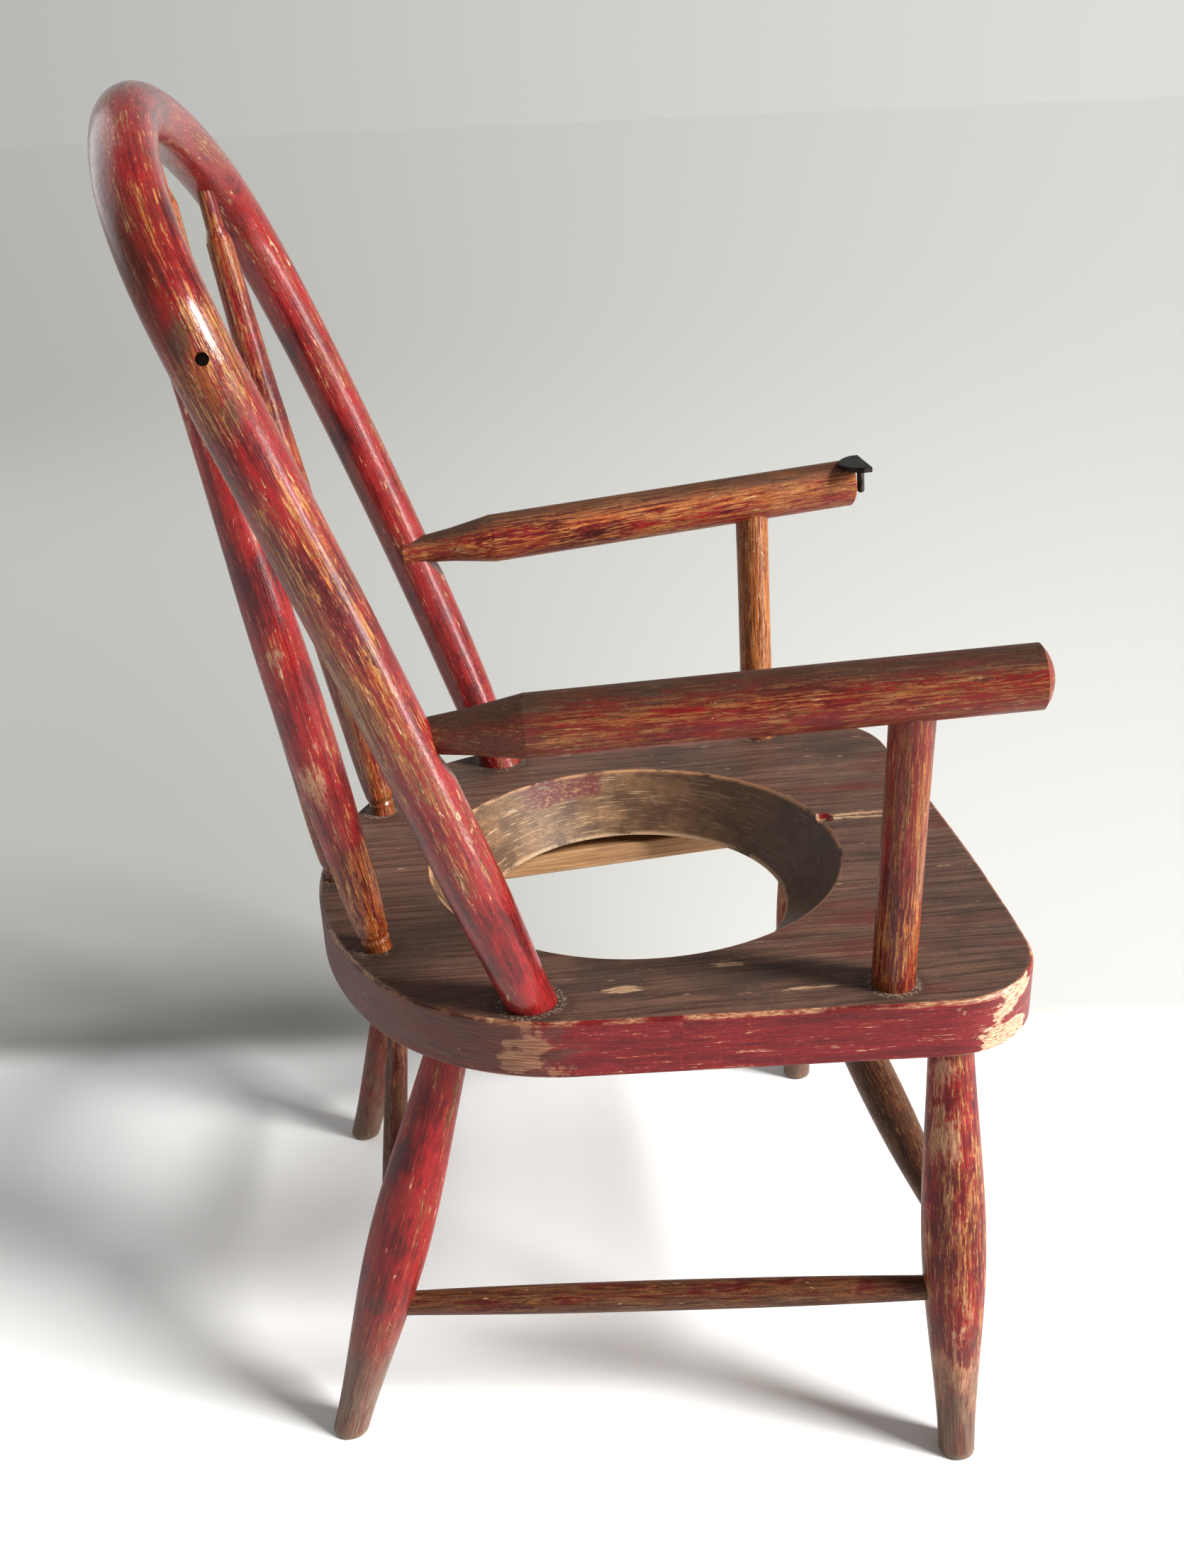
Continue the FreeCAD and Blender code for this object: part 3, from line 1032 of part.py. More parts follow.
# ---------------------------------------------------------------------- output
doc.recompute()
bad = []
for obj in doc.Objects:
    state = [s for s in obj.State if s in ("Invalid", "Error")]
    if state:
        bad.append("%s %s" % (obj.Name, state))
if bad:
    raise RuntimeError("failed objects: " + "; ".join(bad))
box = None
for obj in NODES:
    shape = obj.Shape
    if shape.isNull() or not shape.isValid() or not shape.Solids:
        raise RuntimeError("bad shape: " + obj.Label)
    b = shape.BoundBox
    if box is None:
        box = FreeCAD.BoundBox(b)
    else:
        box.add(b)
    print("%-18s solids %d  volume %10.1f mm3  x %8.2f %8.2f  y %8.2f %8.2f  z %8.2f %8.2f" % (
        obj.Label, len(shape.Solids), shape.Volume, b.XMin, b.XMax, b.YMin, b.YMax, b.ZMin, b.ZMax))
print("box x %.3f %.3f  y %.3f %.3f  z %.3f %.3f" % (box.XMin, box.XMax, box.YMin, box.YMax, box.ZMin, box.ZMax))
print("peg hole mouth", PEG_MOUTH, "direction", PEG_DIR)
print("keeper pin axis from", PIN_TOP, "to", PIN_TIP)
for obj in NODES:
    obj.Shape.exportStep("parts/%s.step" % obj.Label)
print("nodes", len(NODES))
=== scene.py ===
import math
import bpy
import numpy as np
from mathutils import Vector, Matrix

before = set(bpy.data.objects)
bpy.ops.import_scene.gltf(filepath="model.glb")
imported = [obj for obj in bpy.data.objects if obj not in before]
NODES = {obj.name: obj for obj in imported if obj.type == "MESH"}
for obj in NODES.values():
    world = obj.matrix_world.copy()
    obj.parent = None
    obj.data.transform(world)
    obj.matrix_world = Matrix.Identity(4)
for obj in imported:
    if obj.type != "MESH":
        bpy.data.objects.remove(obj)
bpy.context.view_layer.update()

SHIFT = (0.002937, 0.01836)          # the seat's middle plane and datum line from the origin
HOLE = (SHIFT[0], SHIFT[1] - 0.0368)  # centre of the seat's opening
SEAT_TOP, SEAT_LOW = 0.2304, 0.2042
JOINT_X = SHIFT[0] + 0.0217
scene = bpy.context.scene


# =============================================================== grain directions
# Each stick carries a "grain" vector per vertex: across, across, along its own axis (metres).
def coords(o):
    co = np.empty(len(o.data.vertices) * 3)
    o.data.vertices.foreach_get("co", co)
    return co.reshape(-1, 3)


def store(o, g, name="grain"):
    a = o.data.attributes.get(name) or o.data.attributes.new(name, "FLOAT_VECTOR", "POINT")
    a.data.foreach_set("vector", g.astype(np.float32).ravel())


def straight_grain(o, origin=None):
    co = coords(o)
    lo, hi = co.min(0), co.max(0)
    c = (lo + hi) / 2
    u, s, vt = np.linalg.svd(co[:: max(1, len(co) // 4000)] - co.mean(0), full_matrices=False)
    ax = vt[0]
    k = int(np.argmax(np.abs(ax)))
    if ax[k] < 0:
        ax = -ax
    ref = np.array([0, 0, 1.0]) if abs(ax[2]) < 0.8 else np.array([0, -1.0, 0])
    e1 = np.cross(ax, ref)
    e1 /= np.linalg.norm(e1)
    e2 = np.cross(ax, e1)
    d = co - c
    store(o, np.stack([d @ e1, d @ e2, d @ ax], 1))


def bow_line():
    poles = np.array([(122.4, 0), (130.9, 49.5), (133.4, 122.4), (136.0, 207.7), (133.8, 282.7), (106.5, 323.6), (36.1, 345.5), (0, 345.5)])
    knots = np.concatenate([[0] * 3, np.linspace(0, 1, 6), [1] * 3])

    def basis(i, k, t):
        if k == 0:
            return 1.0 if knots[i] <= t < knots[i + 1] or (t == 1 and knots[i] < knots[i + 1] == 1) else 0.0
        a = 0 if knots[i + k] == knots[i] else (t - knots[i]) / (knots[i + k] - knots[i]) * basis(i, k - 1, t)
        b = 0 if knots[i + k + 1] == knots[i + 1] else (knots[i + k + 1] - t) / (knots[i + k + 1] - knots[i + 1]) * basis(i + 1, k - 1, t)
        return a + b

    half = []
    for t in np.linspace(0, 1, 81):
        half.append(sum(poles[i] * basis(i, 3, min(t, 0.999999)) for i in range(8)))
    half = np.array(half)
    tilt = math.radians(17.38)

    def lift(w, s):
        return ((w + 2.937) / 1000, (21.6 + s * math.sin(tilt) + 0.000164 * s * s + 18.36) / 1000, (230.4 + s * math.cos(tilt)) / 1000)

    right = [lift(-w, s) for w, s in half]
    left = [lift(w, s) for w, s in half[::-1]]
    return np.array(right + left[1:])


def bow_grain(o):
    line = bow_line()
    # extend below the seat
    line = np.vstack([line[0] * 2 - line[1] * 1.0 + (line[0] - line[1]) * 8, line, line[-1] + (line[-1] - line[-2]) * 9])
    seg = np.diff(line, axis=0)
    run = np.concatenate([[0], np.cumsum(np.linalg.norm(seg, axis=1))])
    co = coords(o)
    out = np.zeros_like(co)
    best = np.full(len(co), 1e9)
    for i in range(len(seg)):
        L = np.linalg.norm(seg[i])
        d = seg[i] / L
        t = np.clip((co - line[i]) @ d, 0, L)
        q = line[i] + t[:, None] * d
        dist = np.linalg.norm(co - q, axis=1)
        m = dist < best
        best[m] = dist[m]
        n = np.array([0, math.cos(0.35), -math.sin(0.35)])
        b = np.cross(d, n)
        b /= np.linalg.norm(b)
        n2 = np.cross(b, d)
        r = co - q
        out[m] = np.stack([r @ b, r @ n2, run[i] + t], 1)[m]
    store(o, out)


for name, o in NODES.items():
    if name == "back_bow":
        bow_grain(o)
    elif not name.startswith("seat_") and name not in ("bar_keeper", "runner_screws"):
        straight_grain(o)


# ==================================================================== node tools
class Tree:
    def __init__(self, name):
        self.mat = bpy.data.materials.new(name)
        self.mat.use_nodes = True
        self.t = self.mat.node_tree
        self.t.nodes.clear()
        self.out = self.t.nodes.new("ShaderNodeOutputMaterial")
        self.bsdf = self.t.nodes.new("ShaderNodeBsdfPrincipled")
        self.t.links.new(self.bsdf.outputs[0], self.out.inputs[0])

    def link(self, a, b):
        if isinstance(a, bpy.types.NodeSocket):
            self.t.links.new(a, b)
        else:
            b.default_value = a

    def attr(self, name):
        n = self.t.nodes.new("ShaderNodeAttribute")
        n.attribute_name = name
        return n.outputs["Vector"]

    def obj(self):
        return self.t.nodes.new("ShaderNodeTexCoord").outputs["Object"]

    def normal(self):
        return self.t.nodes.new("ShaderNodeNewGeometry").outputs["Normal"]

    def vec(self, op, a, b=None, c=None):
        n = self.t.nodes.new("ShaderNodeVectorMath")
        n.operation = op
        self.link(a, n.inputs[0])
        if b is not None:
            self.link(b, n.inputs[1])
        if c is not None:
            self.link(c, n.inputs[2])
        return n.outputs["Value"] if op in ("LENGTH", "DOT_PRODUCT", "DISTANCE") else n.outputs["Vector"]

    def m(self, op, a, b=None, c=None, clamp=False):
        n = self.t.nodes.new("ShaderNodeMath")
        n.operation = op
        n.use_clamp = clamp
        self.link(a, n.inputs[0])
        if b is not None:
            self.link(b, n.inputs[1])
        if c is not None:
            self.link(c, n.inputs[2])
        return n.outputs[0]

    def add(self, a, b):
        return self.m("ADD", a, b)

    def mul(self, a, b):
        return self.m("MULTIPLY", a, b)

    def sub(self, a, b):
        return self.m("SUBTRACT", a, b)

    def inv(self, a):
        return self.m("SUBTRACT", 1.0, a)

    def split(self, v):
        n = self.t.nodes.new("ShaderNodeSeparateXYZ")
        self.link(v, n.inputs[0])
        return n.outputs

    def join(self, x, y, z):
        n = self.t.nodes.new("ShaderNodeCombineXYZ")
        for i, s in enumerate((x, y, z)):
            self.link(s, n.inputs[i])
        return n.outputs[0]

    def step(self, x, a, b, smooth=True):
        """0 below a, 1 above b (a may be above b for the reverse)."""
        n = self.t.nodes.new("ShaderNodeMapRange")
        n.interpolation_type = "SMOOTHSTEP" if smooth else "LINEAR"
        n.clamp = True
        self.link(x, n.inputs[0])
        n.inputs[1].default_value = a
        n.inputs[2].default_value = b
        n.inputs[3].default_value = 0.0
        n.inputs[4].default_value = 1.0
        return n.outputs[0]

    def noise(self, v, detail=4.0, rough=0.55, scale=1.0, dist=0.0, dim="3D"):
        n = self.t.nodes.new("ShaderNodeTexNoise")
        n.noise_dimensions = dim
        self.link(v, n.inputs["Vector"])
        n.inputs["Scale"].default_value = scale
        n.inputs["Detail"].default_value = detail
        n.inputs["Roughness"].default_value = rough
        n.inputs["Distortion"].default_value = dist
        return n.outputs["Fac"]

    def cells(self, v, feature="F1", rand=1.0):
        n = self.t.nodes.new("ShaderNodeTexVoronoi")
        n.feature = feature
        self.link(v, n.inputs["Vector"])
        n.inputs["Scale"].default_value = 1.0
        n.inputs["Randomness"].default_value = rand
        return n.outputs["Distance"]

    def mix(self, fac, a, b):
        n = self.t.nodes.new("ShaderNodeMix")
        n.data_type = "RGBA"
        n.clamp_factor = True
        self.link(fac, n.inputs[0])
        for s, v in ((n.inputs[6], a), (n.inputs[7], b)):
            if isinstance(v, bpy.types.NodeSocket):
                self.t.links.new(v, s)
            else:
                s.default_value = (*v, 1.0)
        return n.outputs[2]

    def ramp(self, x, stops):
        n = self.t.nodes.new("ShaderNodeValToRGB")
        e = n.color_ramp.elements
        while len(e) < len(stops):
            e.new(0.5)
        for k, (p, c) in enumerate(stops):
            e[k].position = p
            e[k].color = (*c, 1.0)
        self.link(x, n.inputs[0])
        return n.outputs[0]

    def bump(self, h, dist, strength=1.0, prev=None):
        n = self.t.nodes.new("ShaderNodeBump")
        n.inputs["Strength"].default_value = strength
        n.inputs["Distance"].default_value = dist
        self.link(h, n.inputs["Height"])
        if prev is not None:
            self.t.links.new(prev, n.inputs["Normal"])
        return n.outputs[0]

    def finish(self, color, rough, normal, coat=0.0, coat_rough=0.2, spec=0.5, metallic=0.0):
        b = self.bsdf
        self.link(color, b.inputs["Base Color"])
        self.link(rough, b.inputs["Roughness"])
        if normal is not None:
            self.link(normal, b.inputs["Normal"])
        b.inputs["Coat Weight"].default_value = coat
        b.inputs["Coat Roughness"].default_value = coat_rough
        b.inputs["Specular IOR Level"].default_value = spec
        if isinstance(metallic, bpy.types.NodeSocket):
            self.link(metallic, b.inputs["Metallic"])
        else:
            b.inputs["Metallic"].default_value = metallic
        return self.mat


# colours (scene linear)
CRIMSON = (0.285, 0.012, 0.014)
CRIMSON_DEEP = (0.105, 0.006, 0.008)
CRIMSON_HOT = (0.460, 0.042, 0.026)
MAROON = (0.030, 0.005, 0.005)
ORANGE = (0.400, 0.098, 0.018)
ORANGE_DEEP = (0.130, 0.024, 0.007)
GOLD = (0.66, 0.36, 0.12)
TAN = (0.340, 0.175, 0.070)
CREAM = (0.80, 0.58, 0.36)
GRIME = (0.040, 0.024, 0.017)
WOOD = (ORANGE_DEEP, ORANGE, TAN)
BROWN = ((0.055, 0.020, 0.010), (0.180, 0.068, 0.028), (0.270, 0.140, 0.070))
RED = (MAROON, CRIMSON_DEEP, CRIMSON, CRIMSON_HOT)
DULL = (MAROON, (0.075, 0.010, 0.009), (0.170, 0.020, 0.017), (0.260, 0.050, 0.036))


def stick(name, seed, cover=0.6, grime=0.3, gold=0.5, gloss=0.30, coat=0.25, top_dirt=0.0, low_bare=None, patches=0.0, wood=WOOD, red=RED, dash=1.0, calm=1.0, spots=(), zones=(), soil=()):
    """Old crimson paint rubbed through along the grain of an orange-brown stick.

    cover: share of paint left. spots: (x, y, z, radius, bare) more or less paint near a point.
    zones: (axis, from, to, bare) more or less paint beyond a height.
    """
    T = Tree(name)
    P = T.vec("ADD", T.attr("grain"), (seed * 0.37, seed * 0.61, seed * 1.13))
    warp = T.noise(T.vec("MULTIPLY", P, (60, 60, 14)), 2, 0.5)
    P = T.vec("ADD", P, T.join(T.mul(T.sub(warp, 0.5), 0.005), 0.0, 0.0))
    fibre = T.noise(T.vec("MULTIPLY", P, (1500, 1500, 42)), 4, 0.6)
    fine = T.noise(T.vec("MULTIPLY", P, (2600, 2600, 230)), 3, 0.6)
    band = T.noise(T.vec("MULTIPLY", P, (460, 460, 22 * dash)), 5, 0.62)
    wide = T.noise(T.vec("MULTIPLY", P, (140, 140, 20 * dash)), 4, 0.6)
    blotch = T.noise(T.vec("MULTIPLY", P, (52, 52, 36)), 5, 0.62)
    broad = T.noise(T.vec("MULTIPLY", P, (26, 26, 13)), 2, 0.5)
    pores = T.noise(T.vec("MULTIPLY", P, (3200, 3200, 480)), 2, 0.5)
    nz = T.split(T.normal())[2]
    pos = T.obj()
    xyz = T.split(pos)

    # bare wood
    bare = T.mix(T.step(fibre, 0.34, 0.66), wood[0], wood[1])
    bare = T.mix(T.mul(T.mul(T.step(wide, 0.50, 0.66), T.step(fibre, 0.40, 0.60)), 0.7), bare, wood[2])
    bare = T.mix(T.mul(T.step(fine, 0.52, 0.62), 0.55), bare, (0.060, 0.020, 0.010))
    # paint
    hue = T.add(T.mul(blotch, 0.45), T.add(T.mul(band, 0.35), T.mul(broad, 0.20)))
    paint = T.ramp(hue, ((0.34, red[0]), (0.435, red[1]), (0.52, red[2]), (0.66, red[2]), (0.74, red[3])))
    paint = T.mix(T.mul(T.step(fine, 0.55, 0.68), 0.40), paint, red[3])
    paint = T.mix(T.mul(T.step(fibre, 0.44, 0.32), 0.60), paint, red[0])
    # worn through along the grain
    w = T.add(T.add(T.mul(fibre, 0.30 + 0.20 * (1 - calm)), T.mul(band, 0.42)), T.mul(wide, 0.28 - 0.20 * (1 - calm)))
    w = T.add(w, T.mul(T.sub(blotch, 0.5), 0.34 * calm))
    w = T.add(w, T.mul(T.sub(fine, 0.5), 0.30))
    for (px, py, pz, rad, amount) in spots:
        d = T.vec("DISTANCE", T.vec("MULTIPLY", pos, (1, 1, 0.5)), (px, py, pz * 0.5))
        w = T.add(w, T.mul(T.step(T.add(d, T.mul(T.sub(blotch, 0.5), rad * 0.8)), rad, rad * 0.3), amount))
    for (axis, a, b, amount) in zones:
        w = T.add(w, T.mul(T.step(T.add(xyz[axis], T.mul(T.sub(blotch, 0.5), 0.03)), a, b), amount))
    thr = 0.50 + (cover - 0.5) * 0.46
    gone = T.step(w, thr - 0.020, thr + 0.020)
    col = T.mix(gone, paint, bare)
    # golden torn edges and cream chips
    edge = T.mul(T.step(w, thr - 0.060, thr - 0.008), T.step(w, thr + 0.070, thr + 0.010))
    flake = T.step(T.noise(T.vec("MULTIPLY", P, (850, 850, 90)), 4, 0.65), 0.53, 0.60)
    col = T.mix(T.mul(T.mul(edge, flake), 0.95 * gold), col, GOLD)
    chip_n = T.add(T.mul(T.noise(T.vec("MULTIPLY", P, (520, 520, 105)), 6, 0.72, dist=0.5), 0.75), T.mul(band, 0.25))
    gather = T.mul(T.sub(T.add(T.mul(broad, 0.5), T.mul(blotch, 0.5)), 0.5), 0.30)
    chip = T.step(T.add(chip_n, gather), 0.628 - 0.030 * gold, 0.646 - 0.030 * gold)
    col = T.mix(T.mul(chip, min(1.0, 0.5 + gold * 0.5)), col, T.mix(fine, GOLD, CREAM))
    if patches:
        # wide dusty tan patches with torn edges
        pn = T.add(T.mul(broad, 0.35), T.add(T.mul(blotch, 0.35), T.add(T.mul(band, 0.20), T.mul(fine, 0.10))))
        patch = T.mul(T.step(pn, 0.555 - 0.05 * patches, 0.590 - 0.05 * patches), T.step(fine, 0.30, 0.48))
        pc = T.mix(T.step(fibre, 0.35, 0.65), (0.38, 0.155, 0.085), (0.66, 0.390, 0.230))
        col = T.mix(T.mul(patch, 0.88), col, pc)
    # dirt held in the grain and on the upper faces
    dn = T.add(T.mul(wide, 0.35), T.add(T.mul(blotch, 0.35), T.mul(broad, 0.30)))
    dirt = T.add(T.mul(T.step(dn, 0.46, 0.60), grime), T.mul(T.step(nz, 0.30, 0.95), top_dirt))
    dirt = T.mul(dirt, T.add(0.30, T.mul(band, 1.2)))
    for (px, py, pz, rad, amount) in soil:
        d = T.vec("DISTANCE", T.vec("MULTIPLY", pos, (1, 1, 0.5)), (px, py, pz * 0.5))
        dirt = T.add(dirt, T.mul(T.step(T.add(d, T.mul(T.sub(wide, 0.5), rad * 1.2)), rad, rad * 0.3), amount))
    col = T.mix(T.m("MINIMUM", dirt, 0.92), col, T.mix(fibre, GRIME, (0.095, 0.052, 0.030)))
    col = T.mix(T.mul(T.step(pores, 0.60, 0.68), 0.60), col, (0.026, 0.010, 0.008))
    if low_bare:
        z0, z1, c_low = low_bare
        f = T.step(T.add(xyz[2], T.mul(T.sub(blotch, 0.5), 0.06)), z1, z0)
        lc = T.mix(T.step(fibre, 0.35, 0.7), c_low, tuple(min(1.0, v * 2.1) for v in c_low))
        col = T.mix(T.mul(f, T.add(0.45, T.mul(T.step(band, 0.36, 0.55), 0.5))), col, lc)
        col = T.mix(T.step(xyz[2], 0.0045, 0.001), col, (0.20, 0.14, 0.095))
    rough = T.add(gloss, T.add(T.mul(gone, 0.10), T.mul(T.m("MINIMUM", dirt, 1.0), 0.22)))
    rough = T.add(rough, T.mul(T.sub(fine, 0.5), 0.45))
    h = T.add(T.add(T.mul(fibre, 0.6), T.mul(gone, -0.50)), T.add(T.mul(pores, -0.20), T.mul(chip, -0.35)))
    n = T.bump(h, 0.00045, 0.85)
    n = T.bump(T.add(blotch, T.mul(wide, 0.6)), 0.0016, 0.5, n)
    fine_n = T.bump(T.add(fibre, T.mul(fine, 0.5)), 0.00010, 0.6)
    T.link(fine_n, T.bsdf.inputs["Coat Normal"])
    return T.finish(col, rough, n, coat=coat * 0.7, coat_rough=0.11, spec=0.35)


def foot(name, z):
    """Where a stick meets a level: its points within 1 cm of that height."""
    co = coords(NODES[name])
    c = co[np.abs(co[:, 2] - z) < 0.010]
    return c


SOCKETS = []
for n in ("spindle_right", "spindle_centre", "spindle_left", "arm_post_right", "arm_post_left"):
    c = foot(n, SEAT_TOP)
    lo, hi = c.min(0), c.max(0)
    SOCKETS.append((float(lo[0] + hi[0]) / 2, float(lo[1] + hi[1]) / 2, float(hi[0] - lo[0]) / 2))
for sgn in (-1, 1):
    SOCKETS.append((SHIFT[0] + sgn * 0.1224, SHIFT[1] + 0.0216, 0.0125))


def seat_mat(name, seed):
    T = Tree(name)
    pos = T.obj()
    x, y, z = T.split(pos)
    nx, ny, nz = T.split(T.normal())
    P = T.vec("ADD", pos, (seed * 0.3, seed * 0.7, 0))
    warp = T.noise(T.vec("MULTIPLY", P, (30, 9, 30)), 2, 0.5)
    Pw = T.vec("ADD", P, T.join(T.mul(T.sub(warp, 0.5), 0.010), 0.0, 0.0))
    fibre = T.noise(T.vec("MULTIPLY", Pw, (1300, 34, 1300)), 4, 0.62)
    fine = T.noise(T.vec("MULTIPLY", Pw, (2600, 190, 2600)), 3, 0.6)
    band = T.noise(T.vec("MULTIPLY", Pw, (300, 9, 300)), 5, 0.6)
    wide = T.noise(T.vec("MULTIPLY", Pw, (75, 14, 75)), 5, 0.6)
    blotch = T.noise(T.vec("MULTIPLY", P, (22, 16, 22)), 5, 0.62)
    speck = T.noise(T.vec("MULTIPLY", P, (900, 900, 900)), 2, 0.5)

    dx, dy = T.sub(x, HOLE[0]), T.sub(y, HOLE[1])
    r = T.m("SQRT", T.add(T.mul(dx, dx), T.mul(dy, dy)))
    theta = T.m("ARCTAN2", dy, dx)
    in_hole = T.step(r, 0.0992, 0.0984)

    # ---- top face: dull taupe, red worn through, fine streaks along the grain
    t1 = T.mix(T.step(fibre, 0.32, 0.70), (0.052, 0.026, 0.019), (0.165, 0.092, 0.064))
    t1 = T.mix(T.mul(T.step(band, 0.42, 0.68), 0.55), t1, (0.220, 0.122, 0.084))
    # mauve-red remnants, more of them towards the front
    front = T.step(y, 0.02, -0.16)
    remn = T.mul(T.step(T.add(T.mul(wide, 0.6), T.mul(blotch, 0.4)), 0.50, 0.66), T.add(0.35, T.mul(front, 0.55)))
    t1 = T.mix(remn, t1, T.mix(fibre, (0.070, 0.014, 0.012), (0.190, 0.046, 0.034)))
    t1 = T.mix(T.mul(T.step(blotch, 0.52, 0.36), 0.50), t1, (0.046, 0.033, 0.027))
    t1 = T.mix(T.mul(T.step(fine, 0.58, 0.68), 0.45), t1, (0.040, 0.026, 0.022))
    # rubbed tan-orange streaks
    rub = T.mul(T.step(band, 0.62, 0.72), T.step(wide, 0.48, 0.60))
    t1 = T.mix(T.mul(rub, 0.55), t1, (0.42, 0.26, 0.16))
    # cream flecks and scratches along the grain
    fl = T.step(T.noise(T.vec("MULTIPLY", Pw, (520, 60, 520)), 5, 0.66), 0.675, 0.705)
    t1 = T.mix(T.mul(fl, 0.85), t1, (0.60, 0.45, 0.31))
    dust = T.mul(T.step(speck, 0.60, 0.75), 0.10)
    t1 = T.mix(dust, t1, (0.55, 0.50, 0.46))
    # worn streak along the glue line in front of the opening
    jd = T.m("ABSOLUTE", T.sub(T.add(x, T.mul(T.sub(wide, 0.5), 0.006)), JOINT_X - 0.001))
    js = T.mul(T.step(jd, 0.0052, 0.0012), T.mul(T.step(y, -0.108, -0.117), T.step(y, -0.172, -0.135)))
    js = T.mul(js, T.step(T.noise(T.vec("MULTIPLY", Pw, (480, 75, 480)), 5, 0.65), 0.44, 0.52))
    t1 = T.mix(T.mul(js, 0.85), t1, (0.60, 0.41, 0.24))
    crack = T.mul(T.step(T.m("ABSOLUTE", T.sub(x, JOINT_X)), 0.0006, 0.0002), T.step(y, -0.105, -0.112))
    t1 = T.mix(T.mul(crack, 0.7), t1, (0.020, 0.012, 0.009))
    # three dry scratches near the right-hand edge
    for (sx, sy, lx, ly) in ((-0.117, 0.002, 0.0026, 0.0085), (-0.105, -0.043, 0.0022, 0.0075), (-0.128, -0.072, 0.0012, 0.013)):
        e = T.add(T.m("POWER", T.m("ABSOLUTE", T.m("DIVIDE", T.sub(x, sx), lx)), 2.0), T.m("POWER", T.m("ABSOLUTE", T.m("DIVIDE", T.sub(y, sy), ly)), 2.0))
        e = T.mul(T.step(T.add(e, T.mul(T.sub(T.noise(T.vec("MULTIPLY", Pw, (700, 150, 700)), 4, 0.65), 0.5), 4.0)), 1.0, 0.7), T.step(fibre, 0.36, 0.46))
        t1 = T.mix(T.mul(e, 0.8), t1, (0.50, 0.33, 0.20))
    # darkening round the foot of each stick: painted contact shade, partly grime; pale dust flecks close to each stick
    for (sx, sy, rr) in SOCKETS:
        d = T.m("SQRT", T.add(T.m("POWER", T.sub(x, sx), 2.0), T.m("POWER", T.sub(y, sy), 2.0)))
        ring = T.step(T.add(d, T.mul(T.sub(blotch, 0.5), 0.008)), rr + 0.009, rr + 0.0005)
        t1 = T.mix(T.mul(ring, 0.55), t1, (0.036, 0.024, 0.019))
        pale = T.mul(T.step(d, rr + 0.0030, rr + 0.0012), T.step(T.add(speck, T.mul(blotch, 0.6)), 0.78, 0.92))
        t1 = T.mix(T.mul(pale, 0.6), t1, (0.36, 0.27, 0.20))
    # ---- wall of the opening
    rv = T.join(T.mul(theta, 0.085), T.mul(z, 1.0), r)
    hf = T.noise(T.vec("MULTIPLY", rv, (420, 900, 300)), 4, 0.6)
    hb = T.noise(T.vec("MULTIPLY", rv, (60, 120, 60)), 5, 0.6)
    hs = T.noise(T.vec("MULTIPLY", T.join(T.add(T.mul(theta, 0.085), T.mul(z, 0.8)), z, r), (70, 1900, 60)), 4, 0.62)
    t2 = T.mix(T.step(hb, 0.35, 0.68), (0.105, 0.054, 0.026), (0.270, 0.150, 0.072))
    t2 = T.mix(T.mul(T.step(hf, 0.40, 0.66), 0.5), t2, (0.085, 0.054, 0.038))
    t2 = T.mix(T.mul(T.step(hs, 0.59, 0.64), 0.65), t2, (0.55, 0.40, 0.26))
    # darker towards the front
    t2 = T.mix(T.mul(T.step(dy, 0.03, -0.07), 0.72), t2, T.mix(hf, (0.036, 0.020, 0.014), (0.090, 0.055, 0.040)))
    # maroon paint left near the top on the far side
    pm = T.mul(T.step(theta, 0.02, 0.12), T.step(theta, 0.62, 0.45))
    pm = T.mul(pm, T.step(T.add(z, T.mul(T.sub(hb, 0.5), 0.016)), 0.2195, 0.2230))
    t2 = T.mix(T.mul(pm, T.step(hf, 0.40, 0.50)), t2, (0.13, 0.030, 0.026))
    # lighter rubbed rims
    rim_t = T.mul(T.step(r, 0.0962, 0.0975), T.step(hb, 0.36, 0.50))
    t2 = T.mix(T.mul(rim_t, 0.75), t2, (0.48, 0.26, 0.14))
    rim_b = T.mul(T.step(z, 0.2062, 0.2048), T.mul(T.step(hb, 0.34, 0.50), 0.75))
    t2 = T.mix(rim_b, t2, (0.46, 0.31, 0.19))

    # ---- edge of the board: crimson with scratches that run with the edge
    a2 = T.mul(T.m("ARCTAN2", T.add(dy, 0.0), dx), 0.16)
    ev = T.join(a2, z, 0.0)
    es = T.noise(T.vec("MULTIPLY", ev, (60, 1500, 1)), 5, 0.62)
    eb = T.noise(T.vec("MULTIPLY", ev, (26, 210, 1)), 5, 0.62)
    ef = T.noise(T.vec("MULTIPLY", ev, (330, 2200, 1)), 3, 0.6)
    el = T.noise(T.vec("MULTIPLY", P, (60, 60, 110)), 5, 0.62)
    t3 = T.mix(T.step(T.add(T.mul(es, 0.5), T.mul(eb, 0.5)), 0.40, 0.60), CRIMSON_DEEP, (0.225, 0.012, 0.015))
    t3 = T.mix(T.mul(T.step(ef, 0.54, 0.68), 0.40), t3, (0.340, 0.070, 0.050))
    t3 = T.mix(T.mul(T.step(es, 0.42, 0.30), 0.45), t3, (0.055, 0.008, 0.008))
    # pale torn lines
    sc = T.step(T.add(T.add(T.mul(es, 0.40), T.mul(eb, 0.35)), T.mul(ef, 0.25)), 0.575, 0.592)
    t3 = T.mix(T.mul(sc, 0.8), t3, (0.66, 0.42, 0.26))
    # towards the back the edge is dull brown: partly worn paint, partly painted shade on the edge that faces away from
    # the light
    back = T.step(T.add(y, T.mul(T.sub(el, 0.5), 0.10)), 0.022, 0.044)
    dull_brown_and_shade = T.mix(T.step(es, 0.36, 0.62), (0.055, 0.018, 0.014), (0.150, 0.060, 0.040))
    dull_brown_and_shade = T.mix(T.mul(T.step(eb, 0.46, 0.66), 0.55), dull_brown_and_shade, (0.150, 0.022, 0.019))
    t3 = T.mix(T.mul(back, 0.88), t3, dull_brown_and_shade)
